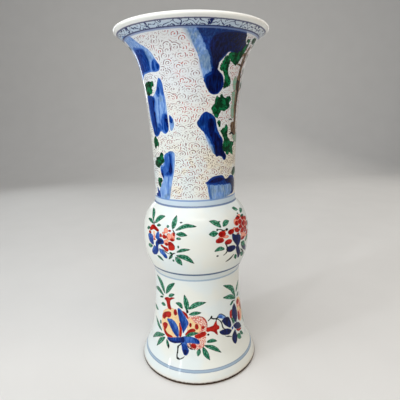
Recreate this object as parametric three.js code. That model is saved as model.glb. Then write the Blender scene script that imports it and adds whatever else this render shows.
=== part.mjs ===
// A gu-form vase in glazed porcelain: a flaring trumpet neck, a round central bulb and a
// spreading foot, each thrown as an open ring and luted together with slip, over a base slab
// that is luted into the foot. Millimetres, +Z up, origin at the centre of the foot ring's
// flat underside.
import * as THREE from "three";

// Heights above the surface that the vase stands on
const overallHeight = 420;
const throatHeight = 235;
const bulbWidestHeight = 174;
const waistHeight = 116;
const footKickTop = 32;
const footKickBottom = 7;

// The bulb is luted on below the neck's throat and above the foot's waist, its narrowest places
const joinBelowThroat = 16;
const joinAboveWaist = 15;
const neckJoinHeight = throatHeight - joinBelowThroat;
const waistJoinHeight = waistHeight + joinAboveWaist;

// Outside radii
const lipRadius = 90;
const throatRadius = 51.3;
const neckJoinRadius = 52;
const bulbRadius = 68.4;
const waistJoinRadius = 57.3;
const waistRadius = 56.7;
const footRadius = 78.8;

// How the outline swells: what the slow part of the neck and foot adds to the radius, and the
// power of each curve
const neckBell = 16;
const neckBellPower = 2;
const neckFlarePower = 12;
const shoulderPower = 2.9;
const bulbUndersidePower = 2.3;
const footSpread = 16.8;
const footSpreadPower = 2;

// Walls
const lipWall = 4.6;
const neckWall = 6.4;
const bulbWall = 6.2;
const bulbInsideShoulderPower = 2.4;
const waistWall = 7.6;
const footWall = 8.4;

// Foot ring and base
const footRingWidth = 10.5;
const footEdgeRound = 2.2;
const footRingInsideBevel = 1.2;
const baseRecess = 5;
const baseThickness = 12;

// Luting slip: the layer between two pieces, and the bead that it leaves on the inside
const slipThickness = 1.2;
const slipBead = 1.4;

// Fineness
const turnSegments = 64;
const lipArcSteps = { under: 2, over: 3, into: 1 };
const edgeArcSteps = 4;

const glaze = new THREE.MeshStandardMaterial({ color: 0xe4ece6, roughness: 0.14, metalness: 0 });
const slip = new THREE.MeshStandardMaterial({ color: 0xd9e0da, roughness: 0.2, metalness: 0 });
const biscuit = new THREE.MeshStandardMaterial({ color: 0xd8bf9c, roughness: 0.85, metalness: 0 });

// A profile point: x is the radius and y the height, as LatheGeometry reads them.
const at = (radius, height) => new THREE.Vector2(radius, height);

// Heights from one end of a curve to the other; crowding above 1 gathers them at the far end.
function heights(from, to, count, crowding = 1) {
  return Array.from({ length: count + 1 }, (_, i) => {
    const share = 1 - (1 - i / count) ** crowding;
    return from + (to - from) * share;
  });
}

// Points on an arc, angles in degrees anticlockwise from straight out.
function arc(centre, radius, fromDegrees, toDegrees, steps) {
  return Array.from({ length: steps + 1 }, (_, i) => {
    const angle = THREE.MathUtils.degToRad(fromDegrees + ((toDegrees - fromDegrees) * i) / steps);
    return at(centre.x + radius * Math.cos(angle), centre.y + radius * Math.sin(angle));
  });
}

// One ring turned from a profile that goes up the outside and down the inside.
function turnedRing(name, profile, material) {
  return turned(name, [...profile, profile[0].clone()], material);
}

// One piece turned from a profile that is already closed, or that ends on the axis.
function turned(name, profile, material) {
  const geometry = new THREE.LatheGeometry(profile, turnSegments);
  geometry.rotateX(Math.PI / 2);
  const mesh = new THREE.Mesh(geometry, material);
  mesh.name = name;
  return mesh;
}

// The lip is a half round that ends the neck's wall. The wall meets it at this angle.
const lipMeetsDegrees = -56;
const lipRound = lipWall / 2;
const lipCentre = at(lipRadius - lipRound, overallHeight - lipRound);
const flareEnd = arc(lipCentre, lipRound, lipMeetsDegrees, lipMeetsDegrees, 1)[0];
const mouthEnd = arc(lipCentre, lipRound, lipMeetsDegrees + 180, lipMeetsDegrees + 180, 1)[0];

// A trumpet: a slow bell and a quick flare at the end, from a throat to an end point.
function trumpetRadius(height, throat, end) {
  if (height <= throatHeight) {
    const below = (throatHeight - height) / (throatHeight - neckJoinHeight);
    return throat + (neckJoinRadius - throatRadius) * below ** 2;
  }
  const t = (height - throatHeight) / (end.y - throatHeight);
  const flare = end.x - throat - neckBell;
  return throat + neckBell * t ** neckBellPower + flare * t ** neckFlarePower;
}

const neckRadius = (height) => trumpetRadius(height, throatRadius, flareEnd);
const neckBoreRadius = (height) => trumpetRadius(height, throatRadius - neckWall, mouthEnd);

// The bulb: widest at one height, drawn in above and below it.
function bulbCurve(height, widest, top, bottom, topPower) {
  if (height >= bulbWidestHeight) {
    const t = (height - bulbWidestHeight) / (neckJoinHeight - bulbWidestHeight);
    return widest - (widest - top) * t ** topPower;
  }
  const t = (bulbWidestHeight - height) / (bulbWidestHeight - waistJoinHeight);
  return widest - (widest - bottom) * t ** bulbUndersidePower;
}

const bulbOutsideRadius = (height) =>
  bulbCurve(height, bulbRadius, neckJoinRadius, waistJoinRadius, shoulderPower);
const bulbInsideRadius = (height) =>
  bulbCurve(
    height,
    bulbRadius - bulbWall,
    neckJoinRadius - neckWall,
    waistJoinRadius - waistWall,
    bulbInsideShoulderPower,
  );

// The foot: nearly straight under the bulb, spreading below the waist, with a kick at its edge.
function footOutsideRadius(height) {
  if (height >= waistHeight) {
    const t = (height - waistHeight) / (waistJoinHeight - waistHeight);
    return waistRadius + (waistJoinRadius - waistRadius) * t ** 2;
  }
  const t = (waistHeight - height) / waistHeight;
  const kick = THREE.MathUtils.smoothstep(footKickTop - height, 0, footKickTop - footKickBottom);
  const kickRadius = footRadius - waistRadius - footSpread;
  return waistRadius + footSpread * t ** footSpreadPower + kickRadius * kick;
}

// The base slab goes up into a straight seat inside the foot, as far as a ledge in its wall.
const baseTop = baseRecess + baseThickness;
const ledgeHeight = baseTop + slipThickness;
const seatRadius = footRadius - footEdgeRound - footRingWidth;
const slabRadius = seatRadius - slipThickness;

function footInsideRadius(height) {
  const t = (height - ledgeHeight) / (waistJoinHeight - ledgeHeight);
  const wall = footWall + (waistWall - footWall) * t;
  return footOutsideRadius(height) - wall;
}

const aboveNeckSlip = neckJoinHeight + slipThickness / 2;
const belowNeckSlip = neckJoinHeight - slipThickness / 2;
const aboveWaistSlip = waistJoinHeight + slipThickness / 2;
const belowWaistSlip = waistJoinHeight - slipThickness / 2;

const curve = (radiusAt, levels) => levels.map((height) => at(radiusAt(height), height));

function trumpetNeck() {
  const outside = [
    ...curve(neckRadius, heights(aboveNeckSlip, throatHeight, 2)),
    ...curve(neckRadius, heights(throatHeight, flareEnd.y, 13, 1.9).slice(1, -1)),
  ];
  const lip = [
    ...arc(lipCentre, lipRound, lipMeetsDegrees, 0, lipArcSteps.under),
    ...arc(lipCentre, lipRound, 0, 90, lipArcSteps.over).slice(1),
    ...arc(lipCentre, lipRound, 90, lipMeetsDegrees + 180, lipArcSteps.into).slice(1),
  ];
  const inside = [
    ...curve(neckBoreRadius, heights(throatHeight, mouthEnd.y, 11, 1.9).slice(0, -1)).reverse(),
    at(neckBoreRadius(aboveNeckSlip), aboveNeckSlip),
  ];
  return turnedRing("trumpet_neck", [...outside, ...lip, ...inside], glaze);
}

function centralBulb() {
  const outside = [
    ...curve(bulbOutsideRadius, heights(aboveWaistSlip, bulbWidestHeight, 5)),
    ...curve(bulbOutsideRadius, heights(bulbWidestHeight, belowNeckSlip, 7, 1.5).slice(1)),
  ];
  const inside = [
    ...curve(bulbInsideRadius, heights(bulbWidestHeight, belowNeckSlip, 5, 1.5).slice(1)).reverse(),
    ...curve(bulbInsideRadius, heights(aboveWaistSlip, bulbWidestHeight, 4)).reverse(),
  ];
  return turnedRing("central_bulb", [...outside, ...inside], glaze);
}

function spreadingFoot() {
  const edgeCentre = at(footRadius - footEdgeRound, footEdgeRound);
  const foot = [
    at(seatRadius, footRingInsideBevel),
    at(seatRadius + footRingInsideBevel, 0),
    ...arc(edgeCentre, footEdgeRound, -90, 0, edgeArcSteps),
  ];
  const outside = [
    ...curve(footOutsideRadius, heights(footKickBottom, footKickTop, 6)),
    ...curve(footOutsideRadius, heights(footKickTop, waistHeight, 5).slice(1)),
    ...curve(footOutsideRadius, heights(waistHeight, belowWaistSlip, 2).slice(1)),
  ];
  const inside = [
    ...curve(footInsideRadius, heights(ledgeHeight, belowWaistSlip, 8)).reverse(),
    at(seatRadius, ledgeHeight),
  ];
  return turnedRing("spreading_foot", [...foot, ...outside, ...inside], glaze);
}

function baseSlab() {
  const profile = [
    at(0, baseRecess),
    at(slabRadius, baseRecess),
    at(slabRadius, baseTop),
    at(0, baseTop),
  ];
  return turned("base_slab", profile, biscuit);
}

// A ring of slip between two sections, level with the wall outside and beaded inside.
function lutingSlip(name, height, outsideRadius, insideRadius) {
  const bottom = height - slipThickness / 2;
  const top = height + slipThickness / 2;
  return turnedRing(
    name,
    [
      at(outsideRadius(bottom), bottom),
      at(outsideRadius(top), top),
      at(insideRadius(top), top),
      at(insideRadius(height) - slipBead, height),
      at(insideRadius(bottom), bottom),
    ],
    slip,
  );
}

// The slip round the base slab fills the seat up to the ledge and leaves a cove on the slab.
function baseLutingSlip() {
  const coveTop = ledgeHeight + slipBead;
  const wallRadius = footInsideRadius(ledgeHeight);
  const profile = [
    at(seatRadius, baseRecess),
    at(seatRadius, ledgeHeight),
    at(wallRadius, ledgeHeight),
    at(footInsideRadius(coveTop), coveTop),
    at(wallRadius - slipBead, baseTop),
    at(slabRadius, baseTop),
    at(slabRadius, baseRecess),
  ];
  return turnedRing("base_luting_slip", profile, slip);
}

const neckJoinOutside = (height) =>
  height > neckJoinHeight ? neckRadius(height) : bulbOutsideRadius(height);
const neckJoinInside = (height) =>
  height > neckJoinHeight ? neckBoreRadius(height) : bulbInsideRadius(height);
const waistJoinOutside = (height) =>
  height > waistJoinHeight ? bulbOutsideRadius(height) : footOutsideRadius(height);
const waistJoinInside = (height) =>
  height > waistJoinHeight ? bulbInsideRadius(height) : footInsideRadius(height);

const vase = new THREE.Group();
vase.add(
  trumpetNeck(),
  lutingSlip("neck_luting_slip", neckJoinHeight, neckJoinOutside, neckJoinInside),
  centralBulb(),
  lutingSlip("waist_luting_slip", waistJoinHeight, waistJoinOutside, waistJoinInside),
  spreadingFoot(),
  baseLutingSlip(),
  baseSlab(),
);

export default vase;
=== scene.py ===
# %% [markdown]
# # A painted porcelain gu vase
# This lesson dresses a gu-form vase: a trumpet neck, a round central bulb and a spreading foot.
# The frame comes first. It holds the turned solids at their real size, and every piece made
# here takes its place and its largest sizes from it, so nothing has to be fitted afterwards.

# %% Load the frame
import math

import bpy
import numpy as np
from mathutils import Matrix, Vector


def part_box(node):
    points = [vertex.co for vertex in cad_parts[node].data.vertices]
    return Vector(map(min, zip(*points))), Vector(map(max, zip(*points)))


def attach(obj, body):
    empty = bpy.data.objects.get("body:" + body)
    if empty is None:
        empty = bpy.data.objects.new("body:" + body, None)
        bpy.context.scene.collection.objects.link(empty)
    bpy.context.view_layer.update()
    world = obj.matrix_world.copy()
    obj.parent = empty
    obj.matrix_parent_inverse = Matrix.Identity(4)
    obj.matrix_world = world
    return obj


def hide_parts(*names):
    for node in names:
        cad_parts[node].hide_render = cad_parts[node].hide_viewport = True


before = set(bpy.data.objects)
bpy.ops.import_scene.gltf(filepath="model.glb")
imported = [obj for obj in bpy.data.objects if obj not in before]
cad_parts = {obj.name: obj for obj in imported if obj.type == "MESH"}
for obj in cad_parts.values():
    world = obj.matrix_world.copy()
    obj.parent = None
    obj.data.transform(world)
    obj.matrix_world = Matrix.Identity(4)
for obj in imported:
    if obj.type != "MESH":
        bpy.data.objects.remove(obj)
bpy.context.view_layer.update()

MM = 0.001
print("The frame holds", sorted(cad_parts))

# %% [markdown]
# ## Camera
# A phone held at arm's length took the reference view, a little below the lip and looking
# slightly down. Its height, distance and small tilt came from the ellipses of the rings that
# are painted round the vase, because a ring shows as a narrow ellipse near eye level and as a
# wide one far below it. The focal length is written for a sensor 36 mm wide.

# %% Set the camera
CAMERA_DISTANCE = 0.4575
CAMERA_HEIGHT = 0.322
CAMERA_DOWN = math.radians(13.05)
CAMERA_TO_RIGHT = math.radians(0.755)
CAMERA_ROLL = math.radians(-1.299)
SENSOR_WIDTH = 36.0
FOCAL_LENGTH = 32.39

bpy.ops.object.camera_add()
camera = bpy.context.object
camera.data.sensor_width = SENSOR_WIDTH
camera.data.lens = FOCAL_LENGTH
camera.matrix_world = (
    Matrix.Translation((0, -CAMERA_DISTANCE, CAMERA_HEIGHT))
    @ Matrix.Rotation(-CAMERA_TO_RIGHT, 4, "Z")
    @ Matrix.Rotation(math.radians(90) - CAMERA_DOWN, 4, "X")
    @ Matrix.Rotation(CAMERA_ROLL, 4, "Z")
)
bpy.context.scene.camera = camera
bpy.context.scene.view_settings.view_transform = "Standard"
print("Camera at", tuple(round(x, 3) for x in camera.location))

# %% [markdown]
# ## Outlines
# Each section of the vase is thrown on a wheel, so its shape is one outline turned about the
# axis. A potter's outline is a few swelling curves. Each is written here as a power curve
# between two radii, which stays smooth however finely it is sampled. Heights and radii are in
# millimetres, and the largest of them are read from the frame.

# %% Driving sizes, in millimetres
neck_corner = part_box("trumpet_neck")[1]
LIP_RADIUS, TOP = neck_corner.x / MM, neck_corner.z / MM
BULB_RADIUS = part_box("central_bulb")[1].x / MM
FOOT_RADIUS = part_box("spreading_foot")[1].x / MM
THROAT_HEIGHT, THROAT_RADIUS = 235.0, 51.3
NECK_JOIN, NECK_JOIN_RADIUS = 219.0, 52.0
BULB_MIDDLE = 174.0
WAIST_JOIN, WAIST_JOIN_RADIUS = 131.0, 57.3
WAIST_HEIGHT, WAIST_RADIUS = 116.0, 56.7
KICK_TOP, KICK_BOTTOM = 32.0, 7.0
LIP_WALL, NECK_WALL, BULB_WALL, WAIST_WALL, FOOT_WALL = 4.6, 6.4, 6.2, 7.6, 8.4
RING_WIDTH, EDGE_ROUND, RING_BEVEL = 10.5, 2.2, 1.2
BASE_RECESS, BASE_THICKNESS = 5.0, 12.0
SLIP, SLIP_BEAD = 1.2, 1.4
NECK_BELL, NECK_FLARE_POWER = 16.0, 12
BULB_SHOULDER, BULB_INSIDE_SHOULDER, BULB_UNDERSIDE = 2.9, 2.4, 2.3
FOOT_SPREAD = 16.8
print(f"Lip {2 * LIP_RADIUS:.0f} mm, bulb {2 * BULB_RADIUS:.1f} mm, foot {2 * FOOT_RADIUS:.1f} mm")


# %% Outline of the neck
LIP_ROUND = LIP_WALL / 2
LIP_CENTRE = (LIP_RADIUS - LIP_ROUND, TOP - LIP_ROUND)
LIP_MEETS_DEGREES = -56
LIP_MEETS = math.radians(LIP_MEETS_DEGREES)


def on_lip(angle):
    """A point of the lip's half round, by its angle from straight out."""
    radius = LIP_CENTRE[0] + LIP_ROUND * math.cos(angle)
    return radius, LIP_CENTRE[1] + LIP_ROUND * math.sin(angle)


def trumpet_radius(height, throat, end):
    """A slow bell and a quick flare, from the throat to an end point."""
    below = np.clip((THROAT_HEIGHT - height) / (THROAT_HEIGHT - NECK_JOIN), 0, None)
    above = np.clip((height - THROAT_HEIGHT) / (end[1] - THROAT_HEIGHT), 0, 1)
    flare = end[0] - throat - NECK_BELL
    spread = (NECK_JOIN_RADIUS - THROAT_RADIUS) * below**2
    return throat + spread + NECK_BELL * above**2 + flare * above**NECK_FLARE_POWER


def neck_radius(height):
    return trumpet_radius(height, THROAT_RADIUS, on_lip(LIP_MEETS))


def neck_bore(height):
    return trumpet_radius(height, THROAT_RADIUS - NECK_WALL, on_lip(LIP_MEETS + math.pi))


# %% Outlines of the bulb and the foot
def bulb_curve(height, widest, top, bottom, shoulder):
    """Widest at one height and drawn in above and below it."""
    up = np.clip((height - BULB_MIDDLE) / (NECK_JOIN - BULB_MIDDLE), 0, None)
    down = np.clip((BULB_MIDDLE - height) / (BULB_MIDDLE - WAIST_JOIN), 0, None)
    drawn_in = (widest - top) * up**shoulder + (widest - bottom) * down**BULB_UNDERSIDE
    return widest - drawn_in


def bulb_radius(height):
    return bulb_curve(height, BULB_RADIUS, NECK_JOIN_RADIUS, WAIST_JOIN_RADIUS, BULB_SHOULDER)


def bulb_bore(height):
    top, bottom = NECK_JOIN_RADIUS - NECK_WALL, WAIST_JOIN_RADIUS - WAIST_WALL
    return bulb_curve(height, BULB_RADIUS - BULB_WALL, top, bottom, BULB_INSIDE_SHOULDER)


def foot_radius(height):
    above = np.clip((height - WAIST_HEIGHT) / (WAIST_JOIN - WAIST_HEIGHT), 0, None)
    below = np.clip((WAIST_HEIGHT - height) / WAIST_HEIGHT, 0, None)
    kick = np.clip((KICK_TOP - height) / (KICK_TOP - KICK_BOTTOM), 0, 1)
    kick = kick * kick * (3 - 2 * kick)
    kick_radius = FOOT_RADIUS - WAIST_RADIUS - FOOT_SPREAD
    waist = (WAIST_JOIN_RADIUS - WAIST_RADIUS) * above**2
    return WAIST_RADIUS + waist + FOOT_SPREAD * below**2 + kick_radius * kick


LEDGE = BASE_RECESS + BASE_THICKNESS + SLIP
SEAT_RADIUS = FOOT_RADIUS - EDGE_ROUND - RING_WIDTH


def foot_bore(height):
    share = (height - LEDGE) / (WAIST_JOIN - LEDGE)
    return foot_radius(height) - (FOOT_WALL + (WAIST_WALL - FOOT_WALL) * share)


def wall_radius(height):
    """The outside of the whole vase at a height."""
    lower = np.where(height < WAIST_JOIN, foot_radius(height), bulb_radius(height))
    return np.where(height < NECK_JOIN, lower, neck_radius(height))


print(f"Waist {2 * foot_radius(WAIST_HEIGHT):.1f} mm wide")
print(f"Throat {2 * neck_radius(THROAT_HEIGHT):.1f} mm wide")

# %% [markdown]
# ## Turning a section
# A turned piece could be a Screw modifier on a curve, but modelling it as by hand shows what
# happens: a plane is merged to one vertex, the vertex is extruded along the outline, and the
# outline is spun round the axis. The outline is cut into short even steps, because the painting
# is kept on the vertices, so the mesh has to be about as fine as the brush marks.


# %% Helpers for turning
WELD = MM / 1000
SHARP_EDGE = math.radians(35)


def evenly(points, spacing):
    """The same line of (radius, height) points, cut again into even steps."""
    points = np.array(points)
    along = np.insert(np.cumsum(np.hypot(*np.diff(points, axis=0).T)), 0, 0)
    marks = np.linspace(0, along[-1], max(2, round(along[-1] / spacing) + 1))
    return list(zip(np.interp(marks, along, points[:, 0]), np.interp(marks, along, points[:, 1])))


def curve_points(radius_at, bottom, top, spacing):
    heights = np.linspace(bottom, top, 2000)
    return evenly(np.column_stack([radius_at(heights), heights]), spacing)


def arc_points(centre, radius, start, end, steps):
    angles = np.radians(np.linspace(start, end, steps + 1))
    return [(centre[0] + radius * math.cos(a), centre[1] + radius * math.sin(a)) for a in angles]


def first_vertex(name, point):
    """A new mesh of one vertex at a (radius, height) point, left in edit mode."""
    bpy.ops.object.select_all(action="DESELECT")
    bpy.ops.mesh.primitive_plane_add(size=MM, location=(point[0] * MM, 0, point[1] * MM))
    piece = bpy.context.object
    piece.name = name
    piece.data.name = name
    bpy.ops.object.transform_apply(location=True, rotation=False, scale=False)
    bpy.ops.object.mode_set(mode="EDIT")
    bpy.ops.mesh.select_all(action="SELECT")
    bpy.ops.mesh.merge(type="CENTER")
    return piece


def turned(name, outline, turns, closed=True):
    """Spins an outline, listed up the outside and down the inside, into a solid piece."""
    piece = first_vertex(name, outline[0])
    ends = outline[1:] + outline[:1] if closed else outline[1:]
    for (r0, z0), (r1, z1) in zip(outline, ends):
        step = ((r1 - r0) * MM, 0, (z1 - z0) * MM)
        bpy.ops.mesh.extrude_vertices_move(TRANSFORM_OT_translate={"value": step})
    bpy.ops.mesh.select_all(action="SELECT")
    bpy.ops.mesh.remove_doubles(threshold=WELD)
    bpy.ops.mesh.spin(steps=turns, angle=math.tau, center=(0, 0, 0), axis=(0, 0, 1))
    bpy.ops.mesh.select_all(action="SELECT")
    bpy.ops.mesh.remove_doubles(threshold=WELD)
    bpy.ops.mesh.normals_make_consistent(inside=False)
    bpy.ops.object.mode_set(mode="OBJECT")
    bpy.ops.object.shade_smooth_by_angle(angle=SHARP_EDGE)
    print(name, "has", len(piece.data.polygons), "faces")
    return piece


# %% [markdown]
# ## The sections
# The neck, the bulb and the foot are separate rings of clay. Their joins are luted with slip
# and hidden under the glaze, so the outlines meet without a step. The lip is a half round, and
# the foot ring has a rounded edge outside and a bevel inside, as a trimmed foot has.

# %% Trumpet neck
NECK_TURNS, NECK_STEP, NECK_BORE_STEP, LIP_STEPS = 352, 1.0, 3.6, 10
neck_bottom = NECK_JOIN + SLIP / 2
flare_end, mouth_end = on_lip(LIP_MEETS)[1], on_lip(LIP_MEETS + math.pi)[1]
lip_ends = (LIP_MEETS_DEGREES, LIP_MEETS_DEGREES + 180)
neck_wall = curve_points(neck_radius, neck_bottom, flare_end, NECK_STEP)
neck_lip = arc_points(LIP_CENTRE, LIP_ROUND, *lip_ends, LIP_STEPS)[1:-1]
neck_inside = curve_points(neck_bore, neck_bottom, mouth_end, NECK_BORE_STEP)[::-1]
neck_outline = neck_wall + neck_lip + neck_inside
neck = turned("painted_trumpet_neck", neck_outline, NECK_TURNS)

# %% Central bulb
BULB_TURNS = 520
WALL_STEP, BORE_STEP = 0.85, 4.5
bulb_top, bulb_bottom = NECK_JOIN - SLIP / 2, WAIST_JOIN + SLIP / 2
bulb_wall = curve_points(bulb_radius, bulb_bottom, bulb_top, WALL_STEP)
bulb_inside = curve_points(bulb_bore, bulb_bottom, bulb_top, BORE_STEP)[::-1]
bulb_outline = bulb_wall + bulb_inside
bulb = turned("painted_central_bulb", bulb_outline, BULB_TURNS)

# %% Spreading foot
FOOT_TURNS, EDGE_STEPS = 460, 6
foot_top = WAIST_JOIN - SLIP / 2
edge_centre = (FOOT_RADIUS - EDGE_ROUND, EDGE_ROUND)
foot_ring = [(SEAT_RADIUS, RING_BEVEL), (SEAT_RADIUS + RING_BEVEL, 0)]
foot_ring += arc_points(edge_centre, EDGE_ROUND, -90, 0, EDGE_STEPS)
foot_wall = curve_points(foot_radius, KICK_BOTTOM, foot_top, WALL_STEP)
foot_inside = curve_points(foot_bore, LEDGE, foot_top, BORE_STEP)[::-1]
foot_outline = foot_ring + foot_wall + foot_inside + [(SEAT_RADIUS, LEDGE)]
foot = turned("painted_spreading_foot", foot_outline, FOOT_TURNS)


# %% Luting slips and the base slab
def join_slip(name, height, inside_below, inside_above, turns):
    """The slip between two sections, level with the wall outside and beaded inside."""
    bottom, top = height - SLIP / 2, height + SLIP / 2
    outline = [
        (wall_radius(bottom), bottom),
        (wall_radius(top), top),
        (inside_above(top), top),
        (inside_above(height) - SLIP_BEAD, height),
        (inside_below(bottom), bottom),
    ]
    return turned(name, [(float(r), float(z)) for r, z in outline], turns)


neck_slip = join_slip("glazed_neck_slip", NECK_JOIN, bulb_bore, neck_bore, NECK_TURNS)
waist_slip = join_slip("glazed_waist_slip", WAIST_JOIN, foot_bore, bulb_bore, FOOT_TURNS)

SLAB_RADIUS, SLAB_TURNS = SEAT_RADIUS - SLIP, 192
TURNING_MARKS, MARK_DEPTH, MARK_STEPS = 11, 0.12, 8
slab_top = BASE_RECESS + BASE_THICKNESS
mark_radii = np.linspace(0, SLAB_RADIUS, MARK_STEPS * TURNING_MARKS + 1)
mark_depth = MARK_DEPTH * np.sin(mark_radii / SLAB_RADIUS * TURNING_MARKS * math.tau) ** 2
underside = [(r, BASE_RECESS + d) for r, d in zip(mark_radii, mark_depth)]
slab_outline = underside + [(SLAB_RADIUS, slab_top), (0, slab_top)]
slab = turned("turned_base_slab", slab_outline, SLAB_TURNS, closed=False)

# %% [markdown]
# ## A map for the wall
# Whoever bakes the painting to a picture needs a flat map of each wall. Turned walls unroll
# well: one direction of the map goes once round the axis, and the other goes once round the
# outline. The outside gets most of the map, because the painting is there.


# %% Unroll a turned wall
INNER_SHARE = 0.45
MAP_MARGIN = 0.002
AT_ONCE = 20000


def vertex_places(piece):
    """The x, y and z of all vertices, in millimetres."""
    co = np.empty(len(piece.data.vertices) * 3)
    piece.data.vertices.foreach_get("co", co)
    return co.reshape(-1, 3).T / MM


def unroll(piece, outline, outer_points):
    """Gives a turned piece its map: round the axis one way and round the outline the other."""
    points = np.array(outline)
    steps = np.hypot(*(np.roll(points, -1, axis=0) - points).T)
    steps[outer_points:] *= INNER_SHARE
    along = np.insert(np.cumsum(steps), 0, 0) / steps.sum()
    x, y, z = vertex_places(piece)
    radius = np.hypot(x, y)
    nearest = np.empty(len(z), int)
    for start in range(0, len(z), AT_ONCE):
        part = slice(start, start + AT_ONCE)
        gap = (radius[part, None] - points[:, 0]) ** 2 + (z[part, None] - points[:, 1]) ** 2
        nearest[part] = gap.argmin(axis=1)
    turn = np.arctan2(x, -y) / math.tau + 0.5
    corners = np.empty(len(piece.data.loops), int)
    piece.data.loops.foreach_get("vertex_index", corners)
    uv = np.column_stack([turn[corners], along[nearest[corners]]]).reshape(-1, 4, 2)
    wraps = (uv.max(axis=1) - uv.min(axis=1) > 0.5)[:, None, :] & (uv < 0.5)
    uv[wraps] += 1
    flat_map = piece.data.uv_layers.new(name="OFBake")
    uv = MAP_MARGIN + (1 - 2 * MAP_MARGIN) * uv
    flat_map.data.foreach_set("uv", uv.astype(np.float32).ravel())


unroll(neck, neck_outline, len(neck_wall + neck_lip) + 1)
unroll(bulb, bulb_outline, len(bulb_wall))
unroll(foot, foot_outline, len(foot_ring + foot_wall))
print("Maps laid on", neck.name, bulb.name, foot.name)

# %% [markdown]
# ## Brush and paints
# The decoration was painted by hand: cobalt blue under the glaze, in a pale wash, a middle tone
# and a dark one, then green, iron red, salmon, yellow and dark outlines over it. Each paint is
# kept here as a distance: every vertex knows how many millimetres it lies outside that paint's
# nearest mark, and less than nothing inside it. A distance changes evenly over a face, so the
# material can draw a crisp edge between vertices, let the edge wander like a brush, and find
# the rim of each mark for an outline. A picture or a mask on the vertices would look stepped.

# %% The brush
PAINTS = ("pale", "mid", "dark", "navy", "wet", "green", "red", "salmon", "cream", "stipple",
          "moss", "bark", "ink")
FAR = 9.0
GAP = 0.5
STROKE_ENDS = 0.55
LEAF_FULLNESS, LEAF_WIDEST, LEAF_SHARPNESS = 0.56, 0.9, 0.85


def smooth_line(points, closed, cuts=5):
    """A curve through the points, by the Catmull-Rom rule."""
    points = np.array(points, float)
    if closed:
        padded = np.vstack([points[-1:], points, points[:2]])
    else:
        padded = np.vstack([2 * points[0] - points[1], points, 2 * points[-1] - points[-2]])
    t = np.arange(cuts)[:, None] / cuts
    spans = []
    for a, b, c, d in zip(padded, padded[1:], padded[2:], padded[3:]):
        spans.append(0.5 * (2 * b + (c - a) * t + (2 * a - 5 * b + 4 * c - d) * t**2
                            + (3 * b - a - 3 * c + d) * t**3))
    return np.vstack(spans if closed else spans + [points[-1:]])


def to_line(x, y, line):
    """Distance from each point to a line, how far along it that is from 0 to 1, and the side."""
    start, step = line[:-1], np.diff(line, axis=0)
    dx = x[:, None] - start[:, 0]
    dy = y[:, None] - start[:, 1]
    length2 = (step**2).sum(axis=1) + 1e-12
    share = np.clip((dx * step[:, 0] + dy * step[:, 1]) / length2, 0, 1)
    gap = np.hypot(dx - share * step[:, 0], dy - share * step[:, 1])
    best = gap.argmin(axis=1)
    row = np.arange(len(x))
    side = np.sign(step[best, 0] * dy[row, best] - step[best, 1] * dx[row, best])
    return gap[row, best], (best + share[row, best]) / len(step), side


def to_outline(x, y, line):
    """Signed distance to a closed outline, less than nothing inside."""
    ring = np.vstack([line, line[:1]])
    gap = to_line(x, y, ring)[0]
    x0, y0, x1, y1 = ring[:-1, 0], ring[:-1, 1], ring[1:, 0], ring[1:, 1]
    crosses = (y0 > y[:, None]) != (y1 > y[:, None])
    rise = np.where(y1 == y0, 1e-9, y1 - y0)
    left = x[:, None] < x0 + (x1 - x0) * (y[:, None] - y0) / rise
    inside = (crosses & left).sum(axis=1) % 2 == 1
    return np.where(inside, -gap, gap)


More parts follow.
